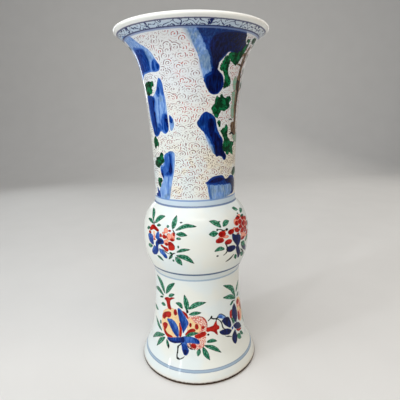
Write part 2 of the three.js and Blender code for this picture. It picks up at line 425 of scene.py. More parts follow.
class Brush:
    """Paints one wall. A point is two numbers, its degrees round from the front and its height in
    mm, and a line of points lists them by turns."""

    def __init__(self, piece, low, high):
        self.piece = piece
        x, y, z = vertex_places(piece)
        self.outside = np.abs(np.hypot(x, y) - wall_radius(z)) < 0.5
        self.outside &= (z > low) & (z < high)
        self.at = np.nonzero(self.outside)[0]
        self.degrees = np.degrees(np.arctan2(x, -y))[self.at]
        heights = np.linspace(low, high, 2000)
        steps = np.hypot(np.diff(heights), np.diff(wall_radius(heights)))
        self.heights, self.lengths = heights, np.insert(np.cumsum(steps), 0, 0) + low
        self.radius = float(wall_radius(np.linspace(low, high, 50)).mean())
        self.y = self.up(z[self.at])
        self.coats = {paint: np.full(len(z), FAR) for paint in (*PAINTS, "vein")}
        self.turn_to(0)

    def up(self, height):
        return np.interp(height, self.heights, self.lengths)

    def turn_to(self, turn, mirror=False):
        """What is painted next goes round the vase by this many degrees."""
        local = (self.degrees - turn + 180) % 360 - 180
        self.x = np.radians(-local if mirror else local) * self.radius

    def paper(self, points):
        degrees, heights = np.array(points, float).reshape(-1, 2).T
        return np.column_stack([np.radians(degrees) * self.radius, self.up(heights)])

    def near(self, line, reach):
        low, high = line.min(axis=0) - reach, line.max(axis=0) + reach
        inside = (self.x > low[0]) & (self.x < high[0]) & (self.y > low[1]) & (self.y < high[1])
        return np.nonzero(inside)[0]

    def lay(self, paint, chosen, distance, over):
        """Adds a mark. Laid over others, it keeps a bare gap round itself."""
        vertices = self.at[chosen]
        coat = self.coats[paint]
        merged = np.minimum(coat[vertices], distance)
        coat[vertices] = np.where(distance < GAP, distance, merged) if over else merged

    def patch(self, paint, *points, over=False):
        """A closed shape through the points."""
        line = smooth_line(self.paper(points), closed=True)
        chosen = self.near(line, FAR)
        if len(chosen):
            self.lay(paint, chosen, to_outline(self.x[chosen], self.y[chosen], line), over)

    def dabs(self, paint, *ovals, over=False):
        """Oval touches of the brush, each by its centre and its half sizes in mm."""
        for *centre, across, tall in ovals:
            middle = self.paper(centre)[0]
            reach = np.array([middle - (across, tall), middle + (across, tall)])
            chosen = self.near(reach, FAR)
            dx, dy = self.x[chosen] - middle[0], self.y[chosen] - middle[1]
            share = np.hypot(dx / across, dy / tall)
            self.lay(paint, chosen, (share - 1) * min(across, tall), over)

    def stroke(self, paint, width, *points):
        """An open line through the points, thinner towards its ends."""
        line = smooth_line(self.paper(points), closed=False)
        chosen = self.near(line, FAR)
        gap, along, _ = to_line(self.x[chosen], self.y[chosen], line)
        swell = np.sin(np.pi * np.clip(along, 0, 1))
        half = width / 2 * (STROKE_ENDS + (1 - STROKE_ENDS) * swell)
        self.lay(paint, chosen, gap - half, False)

    def leaves(self, paint, *each, over=True):
        """Pointed leaves with a midrib, each by its base, tip, width and bow in mm. Bow bends a
        leaf to the left of its way from base to tip."""
        for *ends, width, bow in each:
            base, tip = self.paper(ends)
            way = tip - base
            bend = np.array([-way[1], way[0]]) / math.hypot(*way) * bow
            line = smooth_line([base, (base + tip) / 2 + bend, tip], closed=False, cuts=8)
            chosen = self.near(line, FAR)
            if not len(chosen):
                continue
            gap, along, side = to_line(self.x[chosen], self.y[chosen], line)
            swell = np.sin(np.pi * np.clip(along, 0, 1) ** LEAF_WIDEST) ** LEAF_SHARPNESS
            half = LEAF_FULLNESS * width * swell
            self.lay(paint, chosen, gap - half, over)
            inside = gap < half + GAP
            self.coats["vein"][self.at[chosen[inside]]] = (gap * side)[inside]

    def finish(self):
        """Writes the coats to the mesh, for the material to read."""
        for paint, coat in self.coats.items():
            layer = self.piece.data.attributes.new(paint, "FLOAT", "POINT")
            layer.data.foreach_set("value", coat.astype(np.float32))
        layer = self.piece.data.attributes.new("outside", "FLOAT", "POINT")
        layer.data.foreach_set("value", self.outside.astype(np.float32))


for slip in (neck_slip, waist_slip):
    Brush(slip, WAIST_JOIN - SLIP, NECK_JOIN + SLIP).finish()
LIP_UNDERSIDE, FOOT_RIM, BEYOND = 415.7, 1.0, 0.1
neck_brush = Brush(neck, neck_bottom - BEYOND, LIP_UNDERSIDE)
bulb_brush = Brush(bulb, bulb_bottom - BEYOND, bulb_top + BEYOND)
foot_brush = Brush(foot, FOOT_RIM, foot_top + BEYOND)
print("Brushes reach", [len(b.at) for b in (neck_brush, bulb_brush, foot_brush)], "vertices")

# %% [markdown]
# ## Painting the neck
# Blue rocks hang down both sides of a field of fine red cloud scroll, with green leaves growing
# from them. Each rock is laid as the painter did it: a pale wash first, the middle tone on it,
# and the darkest blue where the brush was fullest. A mark's points are written by turns as
# degrees round from the front and height above the floor in millimetres.


# %% Rocks and leaves on the left of the front
def left_rocks(b):
    # Rock under the lip
    b.patch("pale", -75, 408, -60, 408, -56, 405, -52, 400, -47, 396, -42, 391.5, -39, 386,
        -36, 380, -33.5, 376, -35, 371.5, -40, 370, -48, 370.5, -56, 370, -63, 369, -70, 365,
        -76, 368)
    b.patch("mid", -68, 397, -60, 396, -54, 395, -50, 393.5, -48.5, 388, -47, 383, -47, 377,
        -48, 372, -54, 371, -62, 371, -69, 368, -73, 378)
    b.patch("dark", -67, 394, -60, 395, -54, 394.4, -50.4, 392.6, -48.8, 388, -47.6, 383,
        -47.4, 377, -48.6, 373, -54, 371.6, -62, 371.6, -69, 370, -72, 378)
    b.patch("mid", -43, 380, -40, 382.5, -37, 380, -34, 375.5, -35.5, 372, -39, 371, -44, 371.5,
        -45, 375)
    b.patch("dark", -36.8, 378.5, -34.2, 376, -35, 373, -37.2, 372, -38.2, 375)
    b.patch("dark", -42, 382, -40.6, 381, -40.8, 376, -40.4, 371.6, -43.6, 371.4, -44.4, 375)
    # Tall rock
    b.patch("pale", -38, 364, -40.3, 360, -41.8, 356, -44.5, 351, -50, 346, -56, 344, -62, 341.5,
        -66, 336, -67, 328, -66, 319, -62, 310, -59, 303, -55, 300.5, -50, 301, -47, 304,
        -44, 306.5, -41, 305.5, -38, 304, -34.5, 304.5, -31.5, 307.5, -30.7, 314, -31, 322,
        -31.2, 332, -31.8, 341, -33, 350, -33.4, 357, -35.4, 362.5)
    b.patch("mid", -66, 346, -58, 346.6, -51, 345, -48.6, 340, -50.5, 331, -49.6, 324, -49.4, 315,
        -44, 315.6, -41, 310, -45, 305.6, -49, 301.6, -55, 301, -60, 304, -62, 312, -66, 330)
    b.patch("dark", -65, 345, -58, 345.6, -51.6, 344.6, -48.4, 342.6, -50.6, 336, -52.2, 331,
        -50.8, 326, -50.4, 318, -50, 312, -46, 311, -44.6, 308, -49, 303, -55, 302, -60, 304,
        -60.6, 311, -61.4, 322, -64.6, 333)
    b.patch("navy", -53, 342.6, -50.6, 340, -52.4, 334, -53, 330.4, -51.2, 326, -50.8, 318,
        -51.4, 311.6, -53.4, 314, -54.4, 324, -54.6, 334)
    b.patch("mid", -38.4, 363.2, -41.6, 357.6, -43.6, 352, -45, 347, -41, 344, -39, 348, -37.4, 351,
        -35.8, 346, -33.4, 346, -33, 352, -34, 358, -35.6, 362)
    b.stroke("mid", 0.3, -42, 342, -43, 330, -44, 314)
    b.stroke("mid", 0.3, -34.6, 345, -34, 336, -36, 327)
    b.patch("dark", -40.4, 357.4, -42.2, 352, -42, 347.2, -40.2, 347.2, -39, 351.4)
    b.patch("mid", -41.4, 318, -39, 324, -36, 326, -33, 325.6, -31.4, 320, -31.2, 312, -32, 307,
        -35, 305, -38, 305.5, -41, 308.5)
    b.patch("dark", -41.8, 315.6, -40, 319.6, -39.6, 313, -39.8, 308.4, -41.6, 309)
    b.patch("dark", -36.6, 322.4, -34.2, 325.2, -31.8, 325, -31.2, 318, -31.4, 309, -33.2, 306,
        -36, 305.6, -37.6, 308, -38, 314, -37.4, 318.6)
    b.patch("navy", -36, 320.6, -33.8, 321.6, -31.8, 319, -31.4, 311, -33.2, 312, -35, 316.6)
    # Small stone beside it
    b.patch("pale", -29, 324, -26, 322.5, -23.6, 319, -23.4, 313, -25.5, 308, -28.2, 307.5,
        -29.2, 313)
    b.patch("dark", -28.6, 323.4, -26, 321.5, -24.4, 318.8, -25.4, 315.8, -27.4, 315.6, -29, 318)
    # Low rock above the collar
    b.patch("pale", -42, 279, -37, 281.5, -33, 284, -28.5, 284.5, -25.2, 281.5, -25.4, 274,
        -26.2, 266, -27.5, 259, -30, 252, -32, 244, -34, 236, -36.5, 227.5, -45, 226.8, -55, 226.5,
        -57, 230, -56, 237, -52, 242, -48, 248, -47, 252, -50, 256, -51.8, 262, -50, 267, -46, 268,
        -44, 272)
    b.patch("mid", -40, 280, -36, 282.5, -32, 283.4, -29.4, 282, -29, 270, -29.6, 260, -32, 256,
        -38, 255, -43, 255.6, -47, 258, -46.6, 264, -43, 266.6, -41.6, 272)
    b.patch("dark", -34.2, 280, -32.4, 281.4, -30.4, 279.6, -30, 272, -29.9, 263, -31.2, 257.4,
        -35, 256.4, -39.6, 256, -40.4, 258.8, -36.4, 261.6, -34.4, 267, -33.6, 274)
    b.patch("navy", -32.4, 271.6, -30.4, 270, -30.1, 262, -31.6, 258.2, -35, 259.6, -35, 264.6,
        -33.4, 268)
    b.patch("mid", -51, 263, -47, 265.4, -44.6, 262, -43.8, 257, -45, 252.8, -47.2, 252.4, -50, 256)
    b.patch("dark", -50.4, 261, -47, 263, -45.2, 258, -45.4, 253.4, -47.2, 252.8, -49.8, 256.4)
    b.patch("navy", -49.4, 257.6, -46.6, 258.4, -45.6, 254.6, -47, 253, -49, 255.4)
    b.stroke("mid", 0.8, -36, 254, -38, 244, -39, 232)
    b.patch("dark", -64, 238, -61, 239.4, -59, 236.6, -55.6, 234.6, -54.4, 230, -56, 226.8,
        -62, 226.4, -68.5, 228.5, -66.5, 231.5, -62.5, 232)
    # Leaves between the rocks
    b.patch("green", -70, 358, -62, 361, -56, 361.7, -50, 361.2, -46.5, 360, -47, 356.5, -51, 354.5,
        -50, 351, -54, 348, -60, 346.3, -66, 348, -67, 352)
    b.patch("green", -58, 300.5, -54, 299.3, -51, 295.5, -49.8, 290.5, -51, 287.8, -54, 290,
        -58, 286.8, -61, 286, -62.5, 290, -63.5, 295)
    b.patch("green", -64, 278.3, -60, 275.5, -56, 276.5, -52, 277.5, -50, 280.3, -47, 282,
        -43.3, 281, -43, 277, -42, 272, -45, 269.5, -50, 266.5, -54, 263.8, -60, 264.3, -65, 266.5,
        -65, 271, -61, 273.5)
    b.patch("green", -59.5, 250, -55, 252, -50, 252, -48.2, 249, -50.5, 246, -52.5, 241.6,
        -56, 240.6, -59.5, 244)


# %% Rocks and leaves on the right of the front
def right_rocks(b):
    # Wide rock under the lip
    b.patch("pale", -4.5, 408.5, -3.2, 403, -1, 398, 1.5, 393, 4.5, 387, 6.5, 381, 7.8, 375, 9, 370,
        10.3, 365, 12, 361, 22, 362, 24, 372, 22, 385, 20, 400, 15, 408)
    b.patch("wet", -8, 409, -5, 398, 1, 386, 5, 372, 8, 362, 11, 364, 6, 380, 0, 398, -1, 409)
    b.patch("dark", 6, 408, 7.6, 401.5, 9.6, 398, 12.4, 391.5, 16.4, 384.5, 18.6, 378, 20, 372,
        24, 375, 30, 382, 38, 391, 40, 400, 34, 408)
    b.patch("dark", 8, 405.5, 20, 407, 34, 408, 48, 407.6, 52, 402.3, 57, 398.8, 61.5, 396, 62, 391,
        58, 387.5, 50, 385.5, 43, 387, 37.5, 388, 33.8, 384, 30.4, 380, 27.2, 376.5, 26.6, 371,
        29, 368.5, 33, 365, 35.3, 360, 35.2, 354, 32.6, 349.5, 29, 346, 24, 344.8, 19, 346.3,
        15.5, 351, 13.2, 356, 11.6, 359.5, 13.4, 364, 18.4, 368, 20.2, 371, 19.4, 377, 17.6, 383,
        13.6, 390, 10, 396.5)
    b.patch("navy", 20, 402, 30, 405, 44, 406, 51, 405.6, 54, 401, 60, 396, 60, 391, 50, 386.5,
        43, 388, 37, 389, 32, 384, 28, 379, 27, 372, 23, 368, 20.6, 372, 20.4, 379, 17.6, 387,
        16, 395)
    b.patch("navy", 20, 371, 27, 370, 33, 363, 34.4, 356, 31, 349, 24, 345.6, 18, 348, 14.6, 355,
        15, 362, 20, 366)
    # Slanting rock
    b.patch("pale", 8, 312, 13, 303, 15.5, 297.5, 18, 291.5, 21.5, 285.5, 25.5, 280, 30, 281,
        30, 300, 20, 310)
    b.patch("mid", 5, 315, 11, 308.5, 16, 302, 19.5, 296, 23.5, 289, 27, 283, 30, 288, 28, 305,
        20, 318)
    b.patch("dark", 4, 316, 7, 320, 10, 324.5, 14.2, 327.2, 19, 325.7, 23, 323.7, 26, 321,
        27.6, 317, 29, 311, 31, 306, 34, 301.5, 37, 298.3, 39, 294.5, 38.4, 289.5, 39.4, 285,
        42, 281.5, 45, 278, 45.8, 275, 43.4, 271.8, 40, 273, 37, 276.2, 33, 277.3, 29, 276.8,
        27.2, 279.5, 25.4, 284, 23.6, 289, 20.6, 294.4, 16.6, 300, 12.4, 304.6, 8.4, 308,
        5.4, 311.4)
    b.patch("navy", 26, 305, 30, 303, 33, 299, 36, 296.4, 38.2, 293, 38, 289, 39, 285, 44.8, 277.6,
        45.2, 275, 43.2, 272.6, 37, 277, 29, 278, 26.6, 284, 25.4, 290, 22, 297, 19, 303, 17, 311,
        18, 319, 23, 320, 26, 312)
    b.patch("wet", 4, 308, 12, 302, 18, 293, 23, 284, 22, 276, 14, 280, 6, 292, 1, 302)
    # Low rock above the collar
    b.patch("pale", 14.8, 247, 16.5, 241, 17.3, 235, 18.5, 229.5, 20, 226.2, 26, 226.5, 33, 227,
        40, 227.2, 48, 228, 58, 229.5, 66, 233, 67, 241, 58, 245, 44, 247, 30, 248, 20, 248.5)
    b.stroke("mid", 1.6, 18.4, 244, 19.4, 236, 21.4, 228)
    b.patch("navy", 44, 248.6, 51, 250.6, 60, 250.6, 67, 247, 70, 241, 68, 235, 62, 231, 61, 239,
        55, 243, 48, 244)
    b.patch("navy", 17, 247.6, 23, 250.8, 30, 252.6, 38, 252.4, 42.6, 249, 34, 246.6, 24, 246.6)
    b.patch("dark", 13, 247.6, 16, 248.9, 19, 251.3, 23, 253.7, 28, 254.6, 33, 255, 37.4, 254.9,
        41, 253.2, 44, 250.2, 47.3, 249.6, 51, 251.2, 54.6, 252.5, 62, 252, 69, 248, 72, 241,
        70, 234, 65, 230, 57, 229.4, 59.4, 234, 59.6, 239, 56, 241.8, 50, 242.8, 43, 243, 35, 243.6,
        27, 244.2, 20, 245, 15.5, 246)
    # Leaves between the rocks
    b.patch("green", 33.6, 382.6, 36.6, 384.6, 40, 384, 41, 379, 40.6, 375, 39.6, 371, 41, 367,
        44, 363.4, 46, 359, 44.8, 354.8, 40, 352.2, 35.4, 351.4, 34.8, 355, 36.2, 360, 35.4, 364,
        33.2, 368, 29.4, 370, 29.2, 374, 31, 378)
    b.patch("green", 37.6, 386.4, 44, 388.6, 50, 389, 55, 392, 58.4, 396.6, 61.5, 401, 64, 399,
        62.5, 390, 58.5, 383.5, 53.6, 378, 49, 375.3, 45.6, 377.2, 42, 379.6)
    b.patch("green", 20.3, 330.5, 24, 334.3, 25.4, 339, 27.4, 343.4, 31, 342.6, 33.6, 346,
        36.4, 343.2, 40, 342.2, 44, 344, 48.2, 342.8, 49.3, 340, 46.6, 336, 47.7, 332, 45, 329.8,
        41, 328.5, 38, 326.8, 35, 327.6, 32.6, 325.6, 31, 322.4, 29, 319.8, 26.6, 321.3, 23.5, 324,
        22, 327)
    b.patch("green", 29.6, 316, 32, 318, 34.7, 315, 34.5, 312, 32, 310.6, 30, 313)
    b.patch("green", 34, 305.4, 37, 308.7, 40, 309.6, 42.6, 312.9, 46, 311.7, 47.4, 307, 46.6, 302,
        49, 297.4, 53, 294.2, 57, 293, 61, 292.4, 64.5, 292.7, 64, 289, 60.6, 285.6, 61.5, 281,
        62.4, 276.8, 57, 278, 53, 280, 49.6, 277.6, 45.4, 279, 42.6, 281.4, 39, 284, 38.2, 289,
        39.4, 294, 39, 298, 36.4, 302)


# %% A tree and stones at the sides, where the front view ends
def side_tree(b):
    # Trunk and branches on a mossy bank
    b.patch("moss", 57, 301, 62, 303.5, 70, 303, 78, 300, 82, 295, 74, 291, 66, 292.4, 60, 296)
    b.patch("bark", 57, 302, 59, 316, 57, 330, 58, 346, 57, 358, 60, 370, 62, 382, 67, 393, 70, 399,
        72, 397, 70, 384, 67, 370, 69, 356, 66, 342, 65, 326, 66, 312, 69, 301)
    b.stroke("bark", 2.2, 62, 376, 58, 377.4, 53.5, 377)
    b.stroke("bark", 2.4, 68, 390, 63, 388.5, 59, 386)
    b.stroke("bark", 2.2, 67, 378, 73, 383, 79, 385)
    b.stroke("bark", 2.2, 67, 364, 73, 369, 78, 371)
    b.stroke("bark", 2, 67, 350, 72, 353, 77, 354)
    b.stroke("bark", 2, 68, 392, 76, 398, 83, 398)
    # Hollow, twigs and moss
    b.stroke("ink", 3.2, 60, 361, 63, 359, 64, 352, 62, 346, 63, 338)
    b.stroke("ink", 1.2, 56, 377.6, 60, 376.6, 64, 378)
    b.patch("moss", 50.5, 361, 54, 365, 58, 362, 58.5, 355, 57, 350, 52.6, 350.4, 50.6, 355)
    b.patch("moss", 50, 347, 57, 349, 58, 338, 60, 326, 57, 319, 52, 321, 50.4, 330, 52, 339)
    b.stroke("ink", 1.8, 47.6, 317.8, 51, 318.6, 54.6, 317.4)
    b.patch("bark", 52, 312, 56, 315.6, 62, 313, 64, 307, 60, 303.6, 54, 304.4)
    b.stroke("ink", 2.2, 50, 301.4, 53.4, 302.6, 57.6, 302.4, 62, 300)
    # Berries and leaves
    b.dabs("red", (59.6, 391.6, 1.7, 1.4), (61.4, 387.4, 1.7, 1.4), (63, 393.4, 1.7, 1.4),
        (73.6, 389.4, 1.7, 1.4), (76, 391.8, 1.7, 1.4))
    b.dabs("green", (72, 403, 7, 3.85), (81, 388, 7, 3.85), (78, 373, 6.5, 3.575),
        (76, 357, 6, 3.3), (84, 400, 6, 3.3), (87, 377, 5, 2.75), (60, 401, 4, 2.2),
        (81, 361, 4, 2.2), over=True)
    b.patch("green", 59, 254, 62, 259, 68, 262, 76, 260, 78, 254, 70, 251.6, 64, 251)


def side_rock(b):
    b.patch("pale", 76, 292, 79, 304, 81, 318, 84, 330, 88, 334, 93, 328, 96, 314, 99, 302,
        102, 292, 90, 289)
    b.patch("mid", 80, 294, 82, 308, 85, 320, 89, 326, 93, 314, 95, 300, 94, 292)
    b.patch("dark", 84, 298, 86, 310, 90, 316, 92, 303, 91, 294)
    b.leaves("green", (88, 290, 80, 277, 6, 0), (90, 290, 91, 273, 6, 0), (92, 290, 101, 278, 6, 0))
    b.dabs("red", (90, 290, 2.4, 2.2))


for turn, mirror in [(0, False), (168, True)]:
    neck_brush.turn_to(turn, mirror)
    left_rocks(neck_brush)
    right_rocks(neck_brush)
for turn in (0, 193):
    neck_brush.turn_to(turn)
    side_tree(neck_brush)
neck_brush.turn_to(0)
side_rock(neck_brush)
print("Neck painted")

# %% [markdown]
# ## Painting the bulb
# Sprays of flowers and fruit stand round the bulb: leaves in green, red and salmon petals, and
# blue leaves with dark edges. Two sprays show at the front, and the painter went on round.


# %% Flower spray on the left of the bulb
def flower_spray(b):
    # Leaves and stems
    b.leaves("green", (-52, 201, -66, 213.5, 5.2, -2.5), (-49, 199, -36, 209, 6.2, 2.2),
        (-50, 198, -65, 201, 3.8, -1.2), (-45, 197, -38.5, 198.5, 3, 0.5),
        (-56, 192.5, -63.5, 189, 3.6, 0), (-24, 196, -22, 211.5, 5.8, 0),
        (-21.5, 195, 1.5, 200, 4.4, 3.2), (-20.5, 191, -8.5, 190, 4.8, 0.8),
        (-20.5, 169, -5.5, 173.5, 3.6, 1.4), (-21, 165, -2.5, 155.5, 5.8, 3),
        (-21.5, 163.5, -15.2, 152.5, 6, 0), (-24.5, 166, -29.5, 158.5, 3.2, 0),
        (-45, 160, -36.3, 154.5, 3.6, 0.6), (-60.5, 168.5, -50.5, 170.5, 5, 0),
        (-28, 168, -24, 166, 2.6, 0))
    b.dabs("green", (-17.5, 186, 2.8, 1.7), (-18, 176, 1.1, 1.9), (-24.2, 158, 1.3, 1.5),
        (-30, 198.6, 1.8, 1.9))
    b.dabs("ink", (-15.7, 204, 1.8, 0.9))
    b.stroke("ink", 1.5, -29.6, 158.6, -26.6, 163, -24, 166.8, -20.6, 168.4)
    b.stroke("ink", 1.3, -36.4, 170.6, -31.5, 167, -25, 165.4)
    b.stroke("ink", 1.3, -24, 195.6, -22.6, 193.4, -21, 191.2)
    b.stroke("ink", 1.5, -52.4, 202, -50, 199.6, -48.8, 197)
    # Red and salmon petals
    b.patch("red", -56.5, 190.2, -54.8, 194.6, -51, 197.4, -46, 196, -40.8, 192.6, -42.6, 190.2,
        -47, 191.4, -50, 191.6, -52.5, 189.6)
    b.dabs("red", (-55.5, 186.5, 3, 2.3), (-33.4, 186.2, 2.9, 2.7), (-47.5, 179.8, 2.4, 1))
    b.patch("red", -28.6, 180.6, -26, 181.3, -23.6, 179.8, -21.6, 176.2, -21.8, 172.6, -24.6, 170.6,
        -28, 171, -28.9, 174.4)
    b.patch("red", -38.8, 174, -36.5, 175.8, -33.4, 174, -30, 173.6, -28.6, 170.6, -30.6, 168,
        -33.4, 169.6, -35.6, 172)
    b.dabs("red", (-38, 186.9, 1.8, 2.6), (-31, 177.4, 2.2, 1.9), (-24.4, 184, 2.6, 1.9),
        (-27.4, 194, 1.9, 1.5), (-22.4, 190.6, 1.4, 2.2))
    b.stroke("red", 1.2, -29.2, 191, -30.4, 187.5, -29.4, 184.2)
    b.dabs("salmon", (-31.6, 193.8, 3.1, 3.1))
    b.dabs("salmon", (-27.8, 187, 3.5, 4.1), (-23.2, 189.2, 2.5, 3.6), over=True)
    b.dabs("salmon", (-24.2, 184.4, 3.4, 2.5), (-31.4, 179.4, 3.4, 3.4), (-34.4, 190.4, 2.2, 1.6),
        (-47.5, 183.2, 1.9, 2.8))
    b.dabs("cream", (-29.6, 183, 2.2, 1.7), (-27.6, 186.6, 1.2, 1.4), (-48, 187.8, 2, 2.6))
    # Blue petals
    b.patch("mid", -60, 181.5, -58, 184.4, -53, 185.3, -50, 184, -48.9, 180, -48.9, 176, -50, 172.6,
        -54, 172.8, -58, 176)
    b.patch("dark", -55.4, 180, -51.6, 180.5, -49.4, 178.5, -48.6, 175, -49.6, 172.4, -53.4, 172.8,
        -56.5, 175.6)
    b.patch("mid", -43, 190, -41, 190.9, -39.4, 187, -39.8, 182, -43, 180.4, -45.6, 183, -44.6, 187)
    b.patch("dark", -44, 179.3, -41, 183, -37.5, 183.6, -34.3, 181.5, -34, 178, -37.5, 176,
        -41, 174.5, -42.4, 170.5, -45.2, 172, -46, 176)
    b.patch("navy", -43, 178.6, -40, 181.6, -36.6, 182, -35.2, 179.6, -38.6, 177, -42.4, 175.4)
    b.patch("mid", -46.4, 171, -42.4, 170.5, -42.6, 165.5, -46, 162.3, -50, 159.8, -53.4, 161.3,
        -52.7, 165, -50.2, 169, -48.2, 172.6)
    b.patch("dark", -47, 169.5, -49.5, 165.5, -53, 162.4, -51.5, 159.6, -46.5, 160.6, -42.6, 164.6,
        -41.4, 168.8, -42.6, 172, -45.6, 172.4)
    b.patch("mid", -40.6, 170.3, -36.5, 169.6, -33, 166.2, -31, 162.3, -31.5, 159.4, -34, 159.3,
        -37, 162.4, -40.2, 165.6)
    b.patch("dark", -36, 163.6, -33, 164, -31.2, 162, -31.6, 159.7, -33.8, 159.6)


# %% Berry spray on the right of the bulb
def berry_spray(b):
    # Leaves and stems
    b.leaves("green", (26, 196.5, 13.5, 205, 5.6, -1.8), (28.3, 197, 37.5, 202, 6, 1.5),
        (21.8, 190.6, 12.2, 190.6, 6.2, 0), (29, 169.8, 17.2, 169, 4.8, -2.2),
        (50, 213.5, 60, 210, 5, 0), (60.5, 206, 72, 208, 5.2, 1), (57.5, 202, 67, 202.5, 2.8, 0),
        (43, 159, 46.4, 151.5, 4.6, 0), (52.5, 171.4, 63, 164.5, 6.4, 0), (74, 192, 82, 182, 5, 0),
        (62, 169, 74, 174, 5.4, 1), (53, 158, 63, 150, 5.6, 0))
    b.dabs("green", (25, 203, 1.6, 0.9), (21.4, 194.4, 1.3, 1.3), (55, 206.4, 1.8, 0.9))
    b.dabs("ink", (32.3, 193, 1.8, 1.7))
    b.stroke("ink", 1.3, 21.5, 195, 25, 194.4, 28, 192.6, 32, 193)
    b.dabs("ink", (21, 163, 1.5, 1.1))
    b.stroke("ink", 2.4, 41, 159.5, 38, 156.5, 34.5, 154.3, 31, 152.8)
    b.stroke("ink", 1.9, 29.5, 176.5, 31.5, 172.5, 32, 168, 30.5, 164.5, 27.5, 162.3)
    b.dabs("ink", (52, 203.8, 1.9, 0.9))
    # Berries, with salmon ones behind
    b.dabs("salmon", (47.5, 198, 5, 4.6), (54.5, 203, 5.4, 2.6), (31, 184.6, 3.2, 1.8),
        (25, 184.9, 4, 1.5), (42.5, 191.5, 3, 1.6), (63, 190, 6, 3.4), (57.5, 179, 6, 3.6),
        (66, 177, 5.4, 2.8), (30.3, 192, 2.2, 1.4), (55, 184.6, 4.4, 3), (66, 196, 5, 3.6))
    b.dabs("red", (26.4, 188.8, 4.8, 3.7), (37.4, 189, 5, 3.2), (47.2, 189, 5.4, 3.3),
        (23.6, 181.4, 5.5, 3.2), (33.5, 177.8, 5.3, 3.2), (48.4, 196.8, 4.4, 2.8),
        (54.6, 197, 5.2, 3.4), (53.4, 191.2, 4.8, 2.8), (61, 193.2, 5.4, 3.4), (63, 185.4, 6.2, 4),
        (56.4, 186, 5, 3), (51.6, 202, 5, 2.2), (62, 200, 5.2, 3), (47.6, 183.8, 2.9, 1.4),
        (70, 190, 5.4, 3.4), (56.4, 175.6, 5.4, 2), (69, 179.4, 5.4, 3.4),
        (69.6, 197, 4.4, 2.8), over=True)
    # Blue leaves
    b.patch("navy", 38.8, 186.8, 41, 185.6, 44, 183.8, 48, 183.4, 51.4, 181, 52.4, 176, 50.6, 172,
        48.4, 168.6, 46, 167, 44.3, 170.4, 41.6, 174.5, 39, 179, 38.2, 183)
    b.patch("navy", 31, 170.8, 34, 172.4, 38, 172.4, 42, 171, 43.3, 168, 41.2, 165.3, 37, 164.2,
        33, 165.2, 30.8, 168)
    b.patch("navy", 43.8, 169, 48, 168.6, 50.6, 164, 53, 158, 52.4, 153, 49.4, 151.6, 47, 157.5,
        44.6, 163)
    b.leaves("navy", (53, 168, 69, 155, 6.4, 1))
    b.stroke("ink", 2.4, 52.6, 163, 58, 158, 64, 151.5)


for turn in (0, 178):
    bulb_brush.turn_to(turn)
    flower_spray(bulb_brush)
    berry_spray(bulb_brush)
print("Bulb painted")

# %% [markdown]
# ## Painting the foot
# A branch with ripe pomegranates winds round the foot. The fruit is yellow with red patches and
# a red crown, the leaves under it are blue, and sprays of long green leaves fill the ground.


# %% Pomegranate branch at the front of the foot
def long_leaves(b):
    b.leaves("green", (-47, 104.5, -67, 123.5, 7.6, -3.8), (-45.5, 104.5, -29, 124, 6.2, 1.6),
        (-48.5, 101, -76, 102, 6, -3.4), (-40.5, 102.5, -30, 108.5, 4.2, 0.4),
        (-50, 99, -59.5, 95.5, 2.6, 0), (-45.5, 89, -55.5, 87.5, 4.4, -0.6),
        (-62, 75.5, -81, 76, 5, 0), (-50, 52, -70, 64, 5, 0.8), (-44, 50, -73, 30.5, 5.6, -2.6),
        (-43.5, 47, -57.5, 28, 5.6, -1.4), (-41, 45.5, -36.5, 34, 4.2, 0),
        (-13.6, 88, -17, 110.5, 6.6, -0.6), (-12.5, 91, 10.5, 100, 5.8, 2.6),
        (-12, 84, 4.3, 87, 4.6, 0.8), (-19.5, 91, -29.5, 97, 5.2, -2.4),
        (8.5, 48.5, 21.5, 47.5, 4.6, 1.4), (5.5, 45, 25.3, 31.6, 5, 2),
        (4.2, 43.5, 11.3, 26, 5.6, -0.6), (0.5, 41.5, -1.7, 31.5, 4.6, 0),
        (58.5, 91, 33.5, 117.5, 6.4, -5.2), (58.4, 90.6, 32.6, 101, 5.8, -2),
        (60, 98, 73, 111, 5.4, 1), (62, 92, 71, 94, 4, 0), (53, 90, 44.4, 86.6, 3.8, 0),
        (52.5, 43, 60.5, 33.6, 6.6, 0), (59, 43, 67.5, 35, 4.4, 0), (46.5, 69, 50.5, 59, 4.2, 0))
    b.dabs("green", (-54.5, 62.5, 2, 2.8))
    b.dabs("ink", (11, 57.8, 1.6, 1.4), (-13.6, 88.2, 1.7, 2.4), (-37.4, 37.8, 1.6, 2.8))
    b.stroke("ink", 1.4, 50, 90.2, 53.5, 89.4, 57.5, 88.6)


